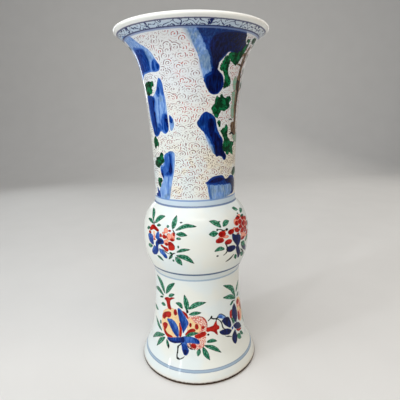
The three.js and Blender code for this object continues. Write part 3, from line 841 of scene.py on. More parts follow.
def left_fruit(b):
    # Fruit with its crown and red patches
    b.patch("cream", -52.5, 70, -49.5, 80, -42, 86, -34, 89, -27.5, 85.5, -23.5, 77, -22, 66,
        -23, 57, -29, 52, -38, 50, -46, 52.5, -51.5, 60)
    b.patch("red", -48, 97, -45.5, 100, -41, 101.6, -39, 101.2, -34, 103.4, -30.4, 103, -33.5, 101,
        -36.6, 98.5, -37.6, 94.5, -36.6, 90.5, -35.4, 87, -38.5, 85.6, -42.2, 87.5, -43.6, 92,
        -44.6, 95)
    b.dabs("red", (-29.6, 84.3, 2.9, 4.3))
    b.patch("red", -52, 72, -50.4, 76, -46.6, 79.6, -40, 82.7, -36.2, 82.2, -36, 78, -39, 74.5,
        -43.8, 73.5, -46.2, 70.5, -49.5, 69.4)
    b.patch("red", -50, 62, -45.7, 66.2, -41, 65.4, -42, 60, -43.8, 56.4, -40, 53.4, -33.4, 52.2,
        -31.5, 49, -37.2, 47.6, -42.9, 50, -46.2, 53, -47.8, 58)
    b.patch("red", -24.2, 71.8, -21.6, 70.5, -20.2, 63, -20.6, 56, -22.6, 52.6, -24, 56, -23.6, 63)
    b.patch("red", -20.3, 88.3, -17, 87.4, -14, 85, -12, 80, -13.6, 78.6, -16.2, 82, -19, 84.7)
    # Blue leaves over it
    b.patch("mid", -42.6, 71.8, -38, 73.7, -34, 74, -29, 71.2, -25.4, 65.5, -24, 59, -24.5, 53.3,
        -28, 53.8, -31.7, 57, -35.3, 61.5, -38.7, 66)
    b.patch("dark", -39, 70.5, -35.5, 70, -31.5, 66.5, -28, 61, -25.2, 56, -25, 53.6, -28, 54,
        -31.7, 57.3, -35.5, 62, -38.8, 66.5)
    b.patch("mid", -26, 90.8, -21.8, 89.7, -18, 84.2, -14.2, 78.4, -12, 73, -14, 68, -17, 62.3,
        -18.8, 59.5, -20.2, 64.5, -22.6, 71.5, -25.3, 80, -26.4, 86)
    b.patch("dark", -26, 88.6, -22.8, 88.4, -20, 83, -16.8, 77, -15.4, 71, -16.8, 64, -18.6, 60.5,
        -20.6, 65, -23, 72, -25.4, 80)
    b.patch("dark", -40.3, 48, -33.4, 50.4, -26.6, 52.6, -20, 54.2, -19, 51, -20, 47.6, -23.8, 45.6,
        -31.5, 43.7, -38, 44.7)
    b.patch("mid", -31, 50, -26, 51.4, -22.5, 51.6, -21.4, 49.8, -25, 48, -30, 47)
    b.patch("mid", -19, 55, -10.4, 56.2, -2.8, 54.2, 1, 50, -0.6, 46.8, -6.6, 47.8, -12.3, 47.8,
        -16.4, 47, -19.5, 50)
    b.patch("dark", -7, 54.6, -2.8, 53.8, 0.7, 50, -0.8, 47.2, -4.5, 48.4, -5.5, 51.6)
    b.patch("mid", -21.2, 48.5, -15.2, 48.2, -13.2, 43, -11.3, 38, -13.2, 33, -16.2, 31.7,
        -18.6, 35, -20.2, 42)
    b.patch("dark", -20, 45, -16, 46, -13, 42, -11.6, 37.6, -13.4, 33.4, -16.2, 32.2, -18.4, 35)
    b.patch("navy", -18, 38, -14.6, 39, -12.2, 37, -14, 33.4, -16.4, 32.6)
    b.stroke("navy", 2.6, -39.5, 46.4, -32, 45.2, -24, 47, -20, 49.6)
    b.patch("navy", -21, 54, -18.2, 54.6, -16.6, 51.6, -18, 47.6, -21, 48.4)
    # Stalk
    b.stroke("ink", 1.8, -19.6, 46.8, -22, 44, -24.6, 41, -24.6, 36, -25.2, 31, -24.4, 26.8,
        -21.5, 26.6, -18.4, 28.4, -16.4, 30.6)
    b.dabs("ink", (-24.6, 40.4, 1.2, 2), (-23.8, 26.9, 1.8, 1.4))


def right_fruit(b):
    # Two fruits with red patches
    b.patch("cream", -13, 80, -8, 79, -4, 74, 0.5, 73, 3, 68, 1, 62, -4, 60, -12, 57, -14, 66,
        -12, 73)
    b.patch("stipple", -12, 80.5, -6, 82.6, 0, 82.8, 5, 80.6, 9, 75, 10.4, 69, 9.6, 62, 8.6, 56,
        7.6, 49, 5.5, 43.4, 1, 40.6, -4, 40, -9, 41, -13.5, 46, -9, 50, -3, 55, -12, 62, -7, 70)
    b.dabs("red", (-9.7, 71, 1.8, 2.9), (-2.3, 69, 2.6, 3.9), (5.3, 67.6, 2.4, 2.1))
    b.patch("red", -16.4, 58, -12.3, 64.2, -6.6, 66.7, -3.6, 64, -6.6, 61.3, -12.3, 59.2, -15, 56.6)
    b.patch("red", -5.2, 57.4, 0, 60.2, 4, 62.2, 8.3, 61.8, 7.2, 57, 3, 55, 0, 54.2, -3.6, 54.6)
    b.patch("red", -9, 46.6, -6.5, 48, -3.8, 46.6, -3, 43, -5.4, 41.2, -8.4, 42.6)
    b.stroke("red", 1.3, -1, 82.8, 6.4, 79.8, 9.8, 73, 10.2, 66)
    b.stroke("ink", 1.3, -13.8, 47, -12.6, 43, -9, 40.6, -4.5, 39.8)
    b.stroke("ink", 1.2, -10.8, 47.4, -9.6, 44.5, -8.8, 42)
    b.leaves("green", (-16.2, 55.4, 0, 61, 4.4, 1.4))
    # Crown and twigs
    b.patch("red", 9.3, 66.4, 13.8, 67.6, 18, 68.8, 20.7, 73, 22.8, 74.4, 22.9, 68.8, 25.7, 65.4,
        25.2, 62, 22.4, 61, 23, 55.2, 20.7, 56.4, 18, 59.8, 13.8, 61.4, 9.6, 61.6)
    b.stroke("ink", 1.5, 21, 72.5, 22.2, 74.6, 22.9, 77)
    b.stroke("ink", 2, 11.5, 75.4, 14.3, 77.6, 16.5, 80.6, 16.4, 78, 20.2, 76.5, 22.8, 76.4,
        25.5, 77.4)
    b.dabs("ink", (16.4, 79.8, 1.2, 1.3))
    b.stroke("ink", 1.8, 22.8, 76, 26.5, 73, 29.2, 68.7, 30.3, 63, 31.8, 60.3, 34, 58.6)
    b.patch("pale", 23.4, 77.4, 26, 80, 29, 80.2, 33, 77, 36, 73.6, 32.6, 72.8, 28.8, 74.6)
    b.stroke("ink", 1.3, 23.4, 77.4, 26, 80.4, 29.4, 80.4, 33.4, 77.4, 36.6, 74)
    b.patch("mid", 26, 78, 28.6, 78.6, 31, 76.6, 29.6, 75, 27, 76.2)


def side_bud(b):
    # Dark buds
    b.patch("navy", 29.5, 71, 32.9, 73.2, 37.2, 74, 41, 72.2, 42.8, 68.7, 44.3, 63, 43.7, 58.5,
        41, 57.8, 37.2, 60.8, 32.9, 65.2)
    b.patch("navy", 25.3, 58, 28.7, 59.4, 36, 58.9, 42.6, 55, 43.7, 53, 39.3, 50.1, 32.9, 51.2,
        27.6, 54)
    b.patch("navy", 42.4, 44.2, 45.6, 48.9, 50, 51.2, 51.7, 45.3, 52.2, 39.8, 50, 35.1, 46.7, 33.5,
        43.3, 37.6)
    b.patch("red", 42.6, 73, 43.6, 78.5, 47, 80, 48.4, 76, 47, 71, 46.4, 68.5, 43.6, 69.4)
    b.patch("navy", 48.6, 81, 52, 85.2, 54.3, 85.2, 57, 80, 59.2, 72, 58.6, 65.3, 55.2, 59.6,
        52, 60.7, 48.6, 66.4, 47, 73)
    b.stroke("ink", 1.6, 44.6, 69.5, 46.5, 65, 47.5, 59.5)
    b.stroke("ink", 1.6, 32.5, 50.4, 36, 48.4, 39, 47.2, 42.5, 45)
    b.patch("mid", 43.6, 56.5, 45.6, 57.6, 47.4, 56, 46, 53.4, 44.4, 54)
    b.leaves("navy", (47, 58, 66, 47, 8, 0.6), over=False)
    # Fruit behind them
    b.patch("cream", 59.5, 87, 66, 88.6, 74, 84, 78.5, 75, 78, 62, 72, 55, 64, 55, 60.5, 62, 60, 74)
    b.patch("salmon", 60, 84, 65, 86, 71, 82, 75, 76, 73, 72, 66, 76, 61, 76)
    b.patch("salmon", 61, 68, 67, 70, 73, 64, 72, 58, 66, 57, 61.5, 61)
    b.patch("red", 60, 85, 65, 87, 70, 82, 66, 79.6, 61, 81)
    b.patch("red", 60.5, 70, 64.5, 69, 67, 62, 64, 57, 60, 60)
    b.patch("red", 69.6, 75, 73.6, 78, 77, 73, 74.5, 67, 71, 69)
    b.stroke("red", 3.6, 53, 49.6, 58, 46.4, 64, 45)
    b.leaves("green", (80, 84, 95, 92, 6, 1.5), (80, 78, 97, 78, 6, -1), (79, 60, 93, 50, 6, -1),
        (77, 56, 84, 41, 5.4, 0))


for turn in (0, 180):
    foot_brush.turn_to(turn)
    left_fruit(foot_brush)
    right_fruit(foot_brush)
    side_bud(foot_brush)
    long_leaves(foot_brush)
for brush in (neck_brush, bulb_brush, foot_brush):
    brush.finish()
print("Foot painted")

# %% [markdown]
# ## Materials
# A material in Blender is a small network, and writing one out link by link is hard to read. A
# recipe object keeps it short: each call adds one step and gives back what that step makes. A
# span turns a value smoothly from one number to another, and most of the looks are made of it.


# %% A recipe for node materials
class Recipe:
    """Adds the steps of one material. Each step returns the socket that it makes."""

    def __init__(self, name):
        self.material = bpy.data.materials.new(name)
        self.material.use_nodes = True
        self.tree = self.material.node_tree
        self.tree.nodes.clear()

    def add(self, kind, inputs=None, out=0, **settings):
        node = self.tree.nodes.new("ShaderNode" + kind)
        for key, value in settings.items():
            setattr(node, key, value)
        for key, value in (inputs or {}).items():
            if isinstance(value, bpy.types.NodeSocket):
                self.tree.links.new(value, node.inputs[key])
            else:
                node.inputs[key].default_value = value
        return node.outputs[out]

    def math(self, operation, a, b=0.0):
        return self.add("Math", {0: a, 1: b}, operation=operation)

    def times(self, a, b):
        return self.math("MULTIPLY", a, b)

    def plus(self, a, b):
        return self.math("ADD", a, b)

    def minus(self, a, b):
        return self.math("SUBTRACT", a, b)

    def most(self, a, b):
        return self.math("MAXIMUM", a, b)

    def least(self, a, b):
        return self.math("MINIMUM", a, b)

    def vector(self, operation, a, b=(0, 0, 0), out=0):
        return self.add("VectorMath", {0: a, 1: b}, out, operation=operation)

    def mix(self, share, first, second):
        inputs = {0: share, 6: first, 7: second}
        return self.add("Mix", inputs, out=2, data_type="RGBA")

    def noise(self, where, scale, detail=2.0, roughness=0.5):
        inputs = {"Vector": where, "Scale": scale, "Detail": detail, "Roughness": roughness}
        return self.add("TexNoise", inputs)

    def span(self, value, start, end, low=0.0, high=1.0):
        inputs = {0: value, 1: start, 2: end, 3: low, 4: high}
        return self.add("MapRange", inputs, interpolation_type="SMOOTHSTEP")

    def ramp(self, value, stops):
        """A run of colours, each with the value at which it is pure."""
        colour = self.add("ValToRGB", {0: value})
        elements = colour.node.color_ramp.elements
        for index, (place, tint) in enumerate(stops):
            element = elements[index] if index < 2 else elements.new(place)
            element.position = place
            element.color = tint
        return colour

    def attribute(self, name):
        return self.add("Attribute", out=2, attribute_name=name)

    def surface(self, inputs):
        """Ends the recipe with its shader and gives the finished material."""
        shader = self.add("BsdfPrincipled", inputs)
        end = self.tree.nodes.new("ShaderNodeOutputMaterial")
        self.tree.links.new(shader, end.inputs["Surface"])
        return self.material

    def place(self):
        """Where a point lies on the object, in millimetres."""
        where = self.add("TexCoord", out=3)
        return self.vector("MULTIPLY", where, (1 / MM, 1 / MM, 1 / MM))


def rgb(red, green, blue):
    """A colour as it is seen on screen, from 0 to 255, turned to Blender's light values."""
    parts = [c / 255 for c in (red, green, blue)]
    light = [c / 12.92 if c <= 0.04045 else ((c + 0.055) / 1.055) ** 2.4 for c in parts]
    return (*light, 1.0)


# %% [markdown]
# ## Glaze and painting
# The glaze is a clear, slightly blue glass over white porcelain. It pools a little in the
# hollows, has a few iron specks and a faint ripple from throwing. The paints are mixed over it
# one by one, in the order in which they cover each other, and each edge wanders a little, as a
# brush does. The overglaze paints stand proud and are less glossy than the glaze.


# %% Colours
CLEAR = (1.0, 1.0, 1.0, 1.0)
GLAZE_COOL = rgb(224, 231, 229)
GLAZE_WARM = rgb(230, 231, 222)
GLAZE_PAINTED_COOL_LIGHT = rgb(228, 229, 235)
GLAZE_POOLED = rgb(170, 198, 224)
GLAZE_PAINTED_WARM_LIGHT = rgb(240, 224, 194)
LIP_PAINTED_LIGHT = rgb(253, 252, 245)
IRON_SPECK = rgb(120, 96, 78)
COBALT = [
    (0.0, rgb(176, 202, 232)), (0.2, rgb(118, 156, 212)), (0.45, rgb(56, 104, 184)),
    (0.62, rgb(10, 60, 142)), (0.8, rgb(0, 29, 104)), (1.0, rgb(0, 2, 48)),
]
COBALT_SMOKE = (0.82, 0.76, 0.6, 1.0)
BLUE_LINE = rgb(16, 34, 96)
BLUE_WASH = rgb(112, 146, 196)
GREEN = rgb(16, 100, 68)
GREEN_LIGHT = rgb(98, 172, 142)
GREEN_DARK = rgb(0, 32, 20)
GREEN_DEEP = rgb(0, 52, 24)
GREEN_BRIGHT = rgb(10, 114, 66)
RED = rgb(186, 30, 14)
RED_DARK = rgb(142, 2, 0)
RED_THIN = rgb(206, 96, 84)
BLUSH = rgb(238, 224, 206)
SALMON = rgb(240, 160, 134)
SALMON_DEEP = rgb(206, 84, 62)
YELLOW = rgb(236, 208, 156)
YELLOW_DEEP = rgb(222, 176, 114)
MOSS = rgb(150, 156, 132)
BARK = rgb(142, 118, 88)
BARK_DARK = rgb(78, 56, 42)
INK = rgb(20, 28, 24)
SCROLL_RED = rgb(176, 42, 24)
SCROLL_GREY = rgb(124, 86, 88)
SCROLL_BROWN = rgb(84, 34, 20)
BISCUIT = rgb(206, 184, 150)
BISCUIT_DARK = rgb(190, 160, 120)
BURNT_CLAY_AND_SHADE = rgb(56, 37, 26)

# %% What all coats of the glaze share
NECK_FROM = 226.0
WANDER = 0.9
LEAF_JAGS = 4.5
PATCHES_RISE_TO_RIGHT = 0.0018


class PaintedGlaze(Recipe):
    """The recipe of the painted glaze, with the steps that its coats share."""

    def __init__(self):
        super().__init__("painted_glaze")
        self.where = self.place()
        self.x, self.y, self.z = (self.add("SeparateXYZ", {0: self.where}, i) for i in range(3))
        self.outside = self.attribute("outside")
        self.on_neck = self.span(self.z, NECK_FROM - 1, NECK_FROM + 1)
        self.fine = self.noise(self.where, 0.5, 2)
        self.blots = self.noise(self.where, 0.16, 3, 0.6)
        self.wander = self.times(self.minus(self.noise(self.where, 0.33, 2), 0.5), WANDER)
        tall = self.vector("MULTIPLY", self.where, (1.0, 1.0, 0.2))
        self.streaks = self.minus(self.noise(tall, 0.5, 3, 0.6), 0.5)
        patchy = self.noise(self.where, 0.055, 3, 0.65)
        self.patches_rising_right = self.plus(patchy, self.times(self.x, PATCHES_RISE_TO_RIGHT))
        self.find_marks()

    def find_marks(self):
        """Reads each paint's distance and lets its edge wander as a brush does."""
        self.marks = {paint: self.plus(self.attribute(paint), self.wander) for paint in PAINTS}
        jagged = self.times(self.minus(self.noise(self.where, 0.3, 3, 0.7), 0.5), self.on_neck)
        self.marks["green"] = self.plus(self.marks["green"], self.times(jagged, LEAF_JAGS))
        pale, mid, dark, navy = (self.marks[paint] for paint in ("pale", "mid", "dark", "navy"))
        self.blue = self.least(self.least(pale, mid), self.least(dark, navy))

    def between(self, low, high, soft=1.0):
        """1 between two heights and 0 beyond them."""
        return self.times(self.span(self.z, low - soft, low), self.span(self.z, high + soft, high))

    def coat(self, distance, soft=0.22):
        """1 inside a paint's marks and 0 outside."""
        return self.span(distance, soft, -soft)

    def rim(self, distance, width, strength=1.0):
        """A strength along the inner rim of a paint's marks and 0 elsewhere."""
        return self.span(distance, -width, -width * 0.3, 0.0, strength)


# %% The glaze by itself
def bare_glaze(r):
    """Clouds of two tints, pools of glaze in the hollows, and a few specks of iron, with painted
    light: cool high on the neck, a warm reflection in the border, and light on the lip.
    """
    colour = r.mix(r.span(r.noise(r.where, 0.02, 3), 0.4, 0.62), GLAZE_COOL, GLAZE_WARM)
    # Painted cool light: the glaze is tinted bluer towards the top of the neck.
    colour = r.mix(r.span(r.z, 290, 390, 0.0, 0.5), colour, GLAZE_PAINTED_COOL_LIGHT)
    collar, waist = r.between(219, 226), r.times(r.between(130, 138), 0.25)
    # The glaze pools blue in the border, less so towards the right, where the paler ground is a
    # painted warm reflection.
    border = r.times(r.between(FRET_LOW, FRET_HIGH, 0.3), r.span(r.x, 40, 72, 1.2, 0.6))
    pooled = r.times(r.most(r.most(collar, waist), border), r.outside)
    colour = r.mix(r.times(pooled, 0.52), colour, GLAZE_POOLED)
    speck = r.add("TexVoronoi", {"Vector": r.where, "Scale": 0.055}, "Distance")
    colour = r.mix(r.span(speck, 0.022, 0.012, 0, 0.7), colour, IRON_SPECK)
    # Painted light: the lip's half round is near white where its top catches the lamps from above.
    return r.mix(r.span(r.z, 411, 418), colour, LIP_PAINTED_LIGHT)


# %% Fine cloud scroll
SCROLL_CELL = 8.2
SCROLL_PITCH = 2.4
SCROLL_LINE = 0.7
SCROLL_STRETCH = (0.86, 0.86, 1.15)
SCROLL_LOW, SCROLL_HIGH = 230, 405


def cloud_scroll(r):
    """Curled lines, one curl in each cell of a scattered pattern. 1 on a line and 0 off it."""
    around = r.vector("NORMALIZE", r.add("CombineXYZ", {0: r.times(r.y, -1.0), 1: r.x, 2: 0.0}))
    where = r.vector("MULTIPLY", r.where, SCROLL_STRETCH)
    cell = {"Vector": where, "Scale": 1 / SCROLL_CELL, "Randomness": 1.0}
    away = r.vector("SUBTRACT", where, r.add("TexVoronoi", cell, "Position"))
    chance = r.add("SeparateColor", {0: r.add("TexVoronoi", cell, "Color")}, 0)
    x = r.vector("DOT_PRODUCT", away, around, out=1)
    y = r.vector("DOT_PRODUCT", away, (0.0, 0.0, 1.0), out=1)
    distance = r.vector("LENGTH", r.add("CombineXYZ", {0: x, 1: y, 2: 0.0}), out=1)
    turn = r.math("DIVIDE", r.math("ARCTAN2", y, x), math.tau)
    turn = r.plus(turn, r.times(chance, 7.0))
    winding = r.minus(r.math("DIVIDE", distance, SCROLL_PITCH), turn)
    wave = r.math("ABSOLUTE", r.minus(r.math("FRACT", winding), 0.5))
    half = SCROLL_LINE / SCROLL_PITCH / 2
    broken = r.span(r.noise(where, 0.42, 1), 0.39, 0.45)
    arched = r.times(broken, r.span(y, -1.8, -0.4, 0.3, 1.0))
    return r.times(r.span(wave, half + 0.05, half - 0.03), arched)


def scroll_ground(r, colour):
    """The scroll on the neck, kept clear of the other marks. It browns towards the lower right,
    where the glaze is tinted warm as painted warm light from the right."""
    ground = r.times(r.span(r.least(r.blue, r.marks["green"]), 0.8, 1.6), r.outside)
    ground = r.times(ground, r.between(SCROLL_LOW, SCROLL_HIGH, 1.5))
    fullness = r.span(r.noise(r.where, 0.19, 2), 0.36, 0.56, 0.55, 1.15)
    aged = r.times(r.span(r.z, 330, 280), r.span(r.patches_rising_right, 0.46, 0.62))
    strength = r.times(r.times(ground, fullness), r.plus(1.0, r.times(aged, 0.5)))
    drawn = r.least(r.times(cloud_scroll(r), strength), 1.0)
    scroll = r.mix(r.span(r.patches_rising_right, 0.44, 0.54), SCROLL_GREY, SCROLL_RED)
    scroll = r.mix(aged, scroll, SCROLL_BROWN)
    # Painted warm light: the glaze low on the right of the neck is tinted warm cream.
    warm_light = r.times(r.span(r.z, 305, 265), r.span(r.patches_rising_right, 0.5, 0.64, 0.0, 0.55))
    warm_light = r.times(warm_light, r.times(r.on_neck, r.outside))
    return r.mix(drawn, r.mix(warm_light, colour, GLAZE_PAINTED_WARM_LIGHT), scroll)


# %% Cobalt
PALE_TONE = 0.19
WASHES = [
    # paint, width of its fading edge, tone
    ("mid", 2.6, 0.5),
    ("dark", 1.4, 0.68),
    ("navy", 1.4, 0.93),
]


def cobalt(r, colour):
    """Cobalt blue under the glaze: a pale wash with up to three stronger ones on it."""
    drift = r.plus(r.times(r.minus(r.blots, 0.5), 2.0), r.times(r.streaks, 5.0))
    tone = PALE_TONE
    for paint, fade, strength in WASHES:
        wash = r.span(r.plus(r.marks[paint], drift), fade, -0.7, 0.0, strength)
        tone = r.most(tone, wash)
    crisp = r.span(r.marks["wet"], -1.0, 1.0)
    outline = r.times(r.rim(r.blue, 0.8), crisp)
    tone = r.plus(tone, r.times(outline, r.span(r.z, 222, 216, 0.12, 0.26)))
    tone = r.plus(tone, r.times(r.streaks, 0.75))
    soft = r.span(crisp, 0.0, 1.0, 3.0, 0.3)
    laid = r.span(r.blue, soft, r.times(soft, -1.0))
    sooty = r.plus(r.patches_rising_right, r.span(r.z, 350, 395, 0.0, 0.06))
    sooty = r.times(r.span(sooty, 0.5, 0.62, 0.0, 0.75), r.on_neck)
    smoke = r.mix(sooty, CLEAR, COBALT_SMOKE)
    r.bare = r.minus(1.0, laid)
    return r.mix(laid, colour, r.vector("MULTIPLY", r.ramp(tone, COBALT), smoke))


# %% Rings, and the key-fret border under the lip
FRET_LOW, FRET_HIGH = 408.9, 413.4
FRET_REPEATS = 32
FRET_WOBBLE = 1.5
FRET_LINES = 1.3
RINGS = [
    # height, half width, softness, colour, strength
    (226.8, 0.6, 0.7, BLUE_WASH, 0.85),
    (219.4, 0.7, 0.7, rgb(46, 80, 134), 0.75),
    (138.5, 1.0, 0.5, rgb(50, 80, 118), 0.9),
    (129.3, 0.6, 0.9, rgb(124, 154, 182), 0.7),
    (15.6, 1.5, 0.4, rgb(144, 168, 190), 0.85),
    (14.2, 0.2, 0.3, BLUE_LINE, 0.35),
    (17.0, 0.2, 0.3, BLUE_LINE, 0.35),
    (407.5, 0.45, 0.6, rgb(118, 142, 190), 0.75),
    (408.5, 0.35, 0.35, BLUE_LINE, 0.9),
    (413.75, 0.3, 0.35, BLUE_LINE, 0.85),
]


def fret_border(r, level):
    """Zigzag lines with smaller triangles inside them, and an upright after each pair."""
    turn = r.math("DIVIDE", r.math("ARCTAN2", r.x, r.times(r.y, -1.0)), math.tau)
    wobble = r.noise(r.add("CombineXYZ", {0: r.x, 1: r.y, 2: 0.0}), 0.09, 2)
    unit = r.plus(r.times(turn, FRET_REPEATS), r.times(wobble, FRET_WOBBLE))
    rise = r.span(level, FRET_LOW, FRET_HIGH)
    zigzag = r.times(r.math("PINGPONG", unit, 0.5), 2.0)
    apart = r.math("ABSOLUTE", r.minus(rise, zigzag))
    nested = r.math("PINGPONG", r.times(apart, FRET_LINES), 0.5)
    upright = r.math("PINGPONG", r.times(unit, 0.5), 0.5)
    return r.most(r.span(nested, 0.16, 0.09), r.span(upright, 0.05, 0.025))


def rings_and_border(r, colour):
    level = r.plus(r.z, r.times(r.wander, 0.4))
    for height, half, soft, tone, strength in RINGS:
        off = r.math("ABSOLUTE", r.minus(level, height))
        ring = r.times(r.span(off, half + soft, half, 0.0, strength), r.outside)
        colour = r.mix(ring, colour, tone)
    fret = r.times(fret_border(r, level), r.between(FRET_LOW, FRET_HIGH, 0.2))
    fret = r.times(fret, r.span(r.fine, 0.36, 0.48, 0.2, 1.0))
    return r.mix(r.times(fret, r.outside), colour, BLUE_LINE)


# %% Enamels over the glaze
def fruit_enamels(r, colour):
    """Blush, yellow, salmon and red, which stop where cobalt shows through."""
    def over(colour, amount, paint):
        return r.mix(r.times(amount, r.bare), colour, paint)

    stipple, cream, salmon, red = (r.marks[p] for p in ("stipple", "cream", "salmon", "red"))
    colour = over(colour, r.coat(stipple), BLUSH)
    net = r.add("TexVoronoi", {"Vector": r.where, "Scale": 0.48}, 0, feature="DISTANCE_TO_EDGE")
    colour = over(colour, r.times(r.span(net, 0.19, 0.08), r.coat(stipple)), RED_THIN)
    flesh = r.mix(r.span(r.fine, 0.45, 0.7, 0.0, 0.7), YELLOW, YELLOW_DEEP)
    flesh = r.mix(r.rim(cream, 1.6, 0.6), flesh, SALMON)
    colour = over(colour, r.coat(cream), flesh)
    colour = over(colour, r.coat(salmon), r.mix(r.rim(salmon, 0.9, 0.85), SALMON, SALMON_DEEP))
    berry = r.mix(r.span(r.blots, 0.4, 0.62), RED_DARK, RED)
    return over(colour, r.coat(red), r.mix(r.rim(red, 0.6, 0.5), berry, RED_DARK))


def plant_enamels(r, colour):
    """Green leaves with dark veins and rims, then moss, bark and the dark line."""
    green, moss = r.marks["green"], r.marks["moss"]
    vein = r.span(r.math("ABSOLUTE", r.attribute("vein")), 0.5, 0.2)
    light = r.mix(r.span(r.fine, 0.42, 0.7), GREEN, GREEN_LIGHT)
    deep = r.mix(r.span(r.blots, 0.42, 0.64), GREEN_DEEP, GREEN_BRIGHT)
    deep = r.mix(r.span(r.fine, 0.46, 0.34), deep, GREEN_DARK)
    leaf = r.mix(r.on_neck, light, deep)
    leaf = r.mix(r.times(r.most(r.rim(green, 0.7), vein), 0.85), leaf, GREEN_DARK)
    colour = r.mix(r.coat(green), colour, leaf)
    stone = r.mix(r.span(r.fine, 0.4, 0.6), MOSS, GREEN_LIGHT)
    stone = r.mix(r.rim(moss, 0.7, 0.8), stone, GREEN_DARK)
    colour = r.mix(r.times(r.coat(moss), 0.85), colour, stone)
    bark = r.mix(r.span(r.streaks, -0.06, 0.1), BARK_DARK, BARK)
    colour = r.mix(r.coat(r.marks["bark"]), colour, bark)
    return r.mix(r.coat(r.marks["ink"]), colour, INK)


# %% The whole painted glaze
def foot_edge(r, colour):
    """The glaze runs thin at the edge of the foot ring and shows burnt clay, with painted shade
    along the bottom edge.
    """
    brim = r.plus(r.z, r.times(r.wander, 1.2))
    colour = r.mix(r.span(brim, 8.0, 3.0, 0.0, 0.22), colour, YELLOW_DEEP)
    # Burnt clay at the foot's edge, its dark band widened upwards as painted shade under the edge.
    colour = r.mix(r.span(brim, 4.4, 2.9), colour, BURNT_CLAY_AND_SHADE)
    return r.mix(r.span(brim, 0.8, 0.5), colour, BISCUIT)


def painted_glaze():
    r = PaintedGlaze()
    colour = bare_glaze(r)
    for coat in (scroll_ground, cobalt, rings_and_border, fruit_enamels, plant_enamels, foot_edge):
        colour = coat(r, colour)
    proud = r.most(r.coat(r.marks["green"], 0.5), r.coat(r.marks["red"], 0.5))
    throwing = r.noise(r.vector("MULTIPLY", r.where, (0.15, 0.15, 1.0)), 0.11, 2)
    height = r.plus(r.times(throwing, 0.08), r.times(proud, 0.05))
    height = r.plus(height, r.times(r.noise(r.where, 0.28, 2), 0.008))
    bump = r.add("Bump", {"Strength": 0.6, "Distance": MM, "Height": height})
    roughness = r.plus(0.08, r.times(proud, 0.15))
    return r.surface({
        "Base Color": colour, "Roughness": roughness, "Normal": bump, "IOR": 1.28,
    })


glaze = painted_glaze()
print("The painted glaze has", len(glaze.node_tree.nodes), "steps")


# %% Biscuit under the foot
def bare_biscuit():
    r = Recipe("bare_biscuit")
    where = r.place()
    grain = r.noise(where, 1.6, 3)
    cloud = r.noise(where, 0.06, 2)
    colour = r.mix(r.span(cloud, 0.35, 0.65), BISCUIT, BISCUIT_DARK)
    grit = r.add("TexVoronoi", {"Vector": where, "Scale": 0.3}, "Distance")
    colour = r.mix(r.span(grit, 0.09, 0.05, 0, 0.8), colour, BURNT_CLAY_AND_SHADE)
    height = r.times(grain, 0.1)
    bump = r.add("Bump", {"Strength": 0.5, "Distance": MM, "Height": height})
    return r.surface({"Base Color": colour, "Roughness": 0.85, "Normal": bump})


biscuit = bare_biscuit()


# %% Dress the pieces
def dress(piece, material, slot, *nodes):
    piece.data.materials.clear()
    piece.data.materials.append(material)
    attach(piece, "root")
    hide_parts(*nodes)


dress(neck, glaze, "glazed_porcelain", "trumpet_neck")
dress(bulb, glaze, "glazed_porcelain", "central_bulb")
dress(foot, glaze, "glazed_porcelain", "spreading_foot")
dress(neck_slip, glaze, "luting_slip", "neck_luting_slip")
dress(waist_slip, glaze, "luting_slip", "waist_luting_slip")
dress(slab, biscuit, "biscuit_base", "base_slab")
# The slip round the slab stays as the frame has it, and only takes the bare clay
base_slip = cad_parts["base_luting_slip"]
base_slip.data.materials.clear()
base_slip.data.materials.append(biscuit)

# %% [markdown]
# ## Stage and light
# A plain pale sweep stands in for the room. Most of the light comes from a broad lamp overhead,
# with a bank in front, a cool one on the left and a warm one on the right. Two thin strips draw
# upright highlights on the left of the neck, and the lamps behind draw its edges. Their powers
# are set so that a white surface facing the camera renders about as white as it is written.

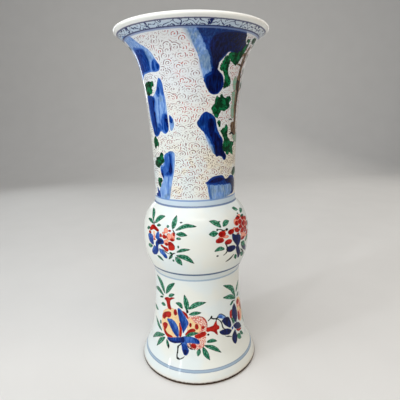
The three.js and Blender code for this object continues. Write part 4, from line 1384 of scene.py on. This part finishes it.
# %% Floor and backdrop
FLOOR_SIZE = 3.0
bpy.ops.object.select_all(action="DESELECT")
bpy.ops.mesh.primitive_plane_add(size=FLOOR_SIZE, location=(0, 0.5, 0))
sweep = bpy.context.object
sweep.name = "sweep"
bpy.ops.object.mode_set(mode="EDIT")
bpy.ops.mesh.select_all(action="DESELECT")
bpy.ops.object.mode_set(mode="OBJECT")
for edge in sweep.data.edges:
    ends = [sweep.data.vertices[i].co for i in edge.vertices]
    edge.select = all(end.y > FLOOR_SIZE * 0.4 for end in ends)
bpy.ops.object.mode_set(mode="EDIT")
bpy.ops.mesh.extrude_region_move(TRANSFORM_OT_translate={"value": (0, 0, 1.8)})
bpy.ops.object.mode_set(mode="OBJECT")
bend = sweep.modifiers.new("bend", "BEVEL")
bend.width = 0.6
bend.segments = 16
bpy.ops.object.modifier_apply(modifier=bend.name)
bpy.ops.object.shade_smooth()

r = Recipe("pale_sweep")
paper_grain = r.noise(r.place(), 0.01, 2)
paper = r.mix(r.span(paper_grain, 0.3, 0.7), rgb(224, 222, 218), rgb(226, 224, 220))
sweep.data.materials.append(r.surface({"Base Color": paper, "Roughness": 0.8}))


# %% Lamps
def lamp(name, place, aim, size, power, colour):
    """A rectangular lamp that faces a point."""
    bpy.ops.object.light_add(type="AREA", location=place)
    light = bpy.context.object
    light.name = name
    light.data.shape = "RECTANGLE"
    light.data.size, light.data.size_y = size
    light.data.energy = power
    light.data.color = colour
    way = Vector(aim) - light.location
    light.rotation_euler = way.to_track_quat("-Z", "Y").to_euler()
    return light


lamp("soft_top", (-0.35, -0.45, 1.6), (0, 0, 0.2), (1.3, 1.1), 12.4, (0.98, 0.99, 1.0))
lamp("front_bank", (0.0, -1.0, 1.16), (0, 0, 0.2), (1.1, 0.22), 4.4, (1.0, 0.99, 0.98))
lamp("left_bank", (-1.3, -0.6, 1.1), (0, 0, 0.2), (1.3, 0.9), 2.7, (0.74, 0.87, 1.0))
lamp("right_bank", (1.2, -0.7, 1.1), (0, 0, 0.2), (1.0, 0.8), 4.3, (1.0, 0.82, 0.62))
for name, place in [("strip_outer", (-1.05, -0.6, 0.68)), ("strip_inner", (-0.85, -1.1, 0.68))]:
    strip = lamp(name, place, (0, 0, 0.5), (0.03, 1.0), 1.12, (0.92, 0.96, 1.0))
    strip.data.spread = math.radians(90)
window = lamp("back_window", (-0.73, 1.08, 0.85), (0, 0, 0.4), (0.12, 1.1), 1.8, (0.92, 0.97, 1.0))
window.visible_camera = False
lamp("rear_bank", (0.9, 1.1, 1.0), (0, 0, 0.2), (1.2, 1.2), 4.4, (1.0, 0.97, 0.92))
world = bpy.data.worlds.new("studio")
bpy.context.scene.world = world
world.use_nodes = True
background = world.node_tree.nodes["Background"]
background.inputs["Color"].default_value = (0.94, 0.96, 1.0, 1.0)
background.inputs["Strength"].default_value = 0.205
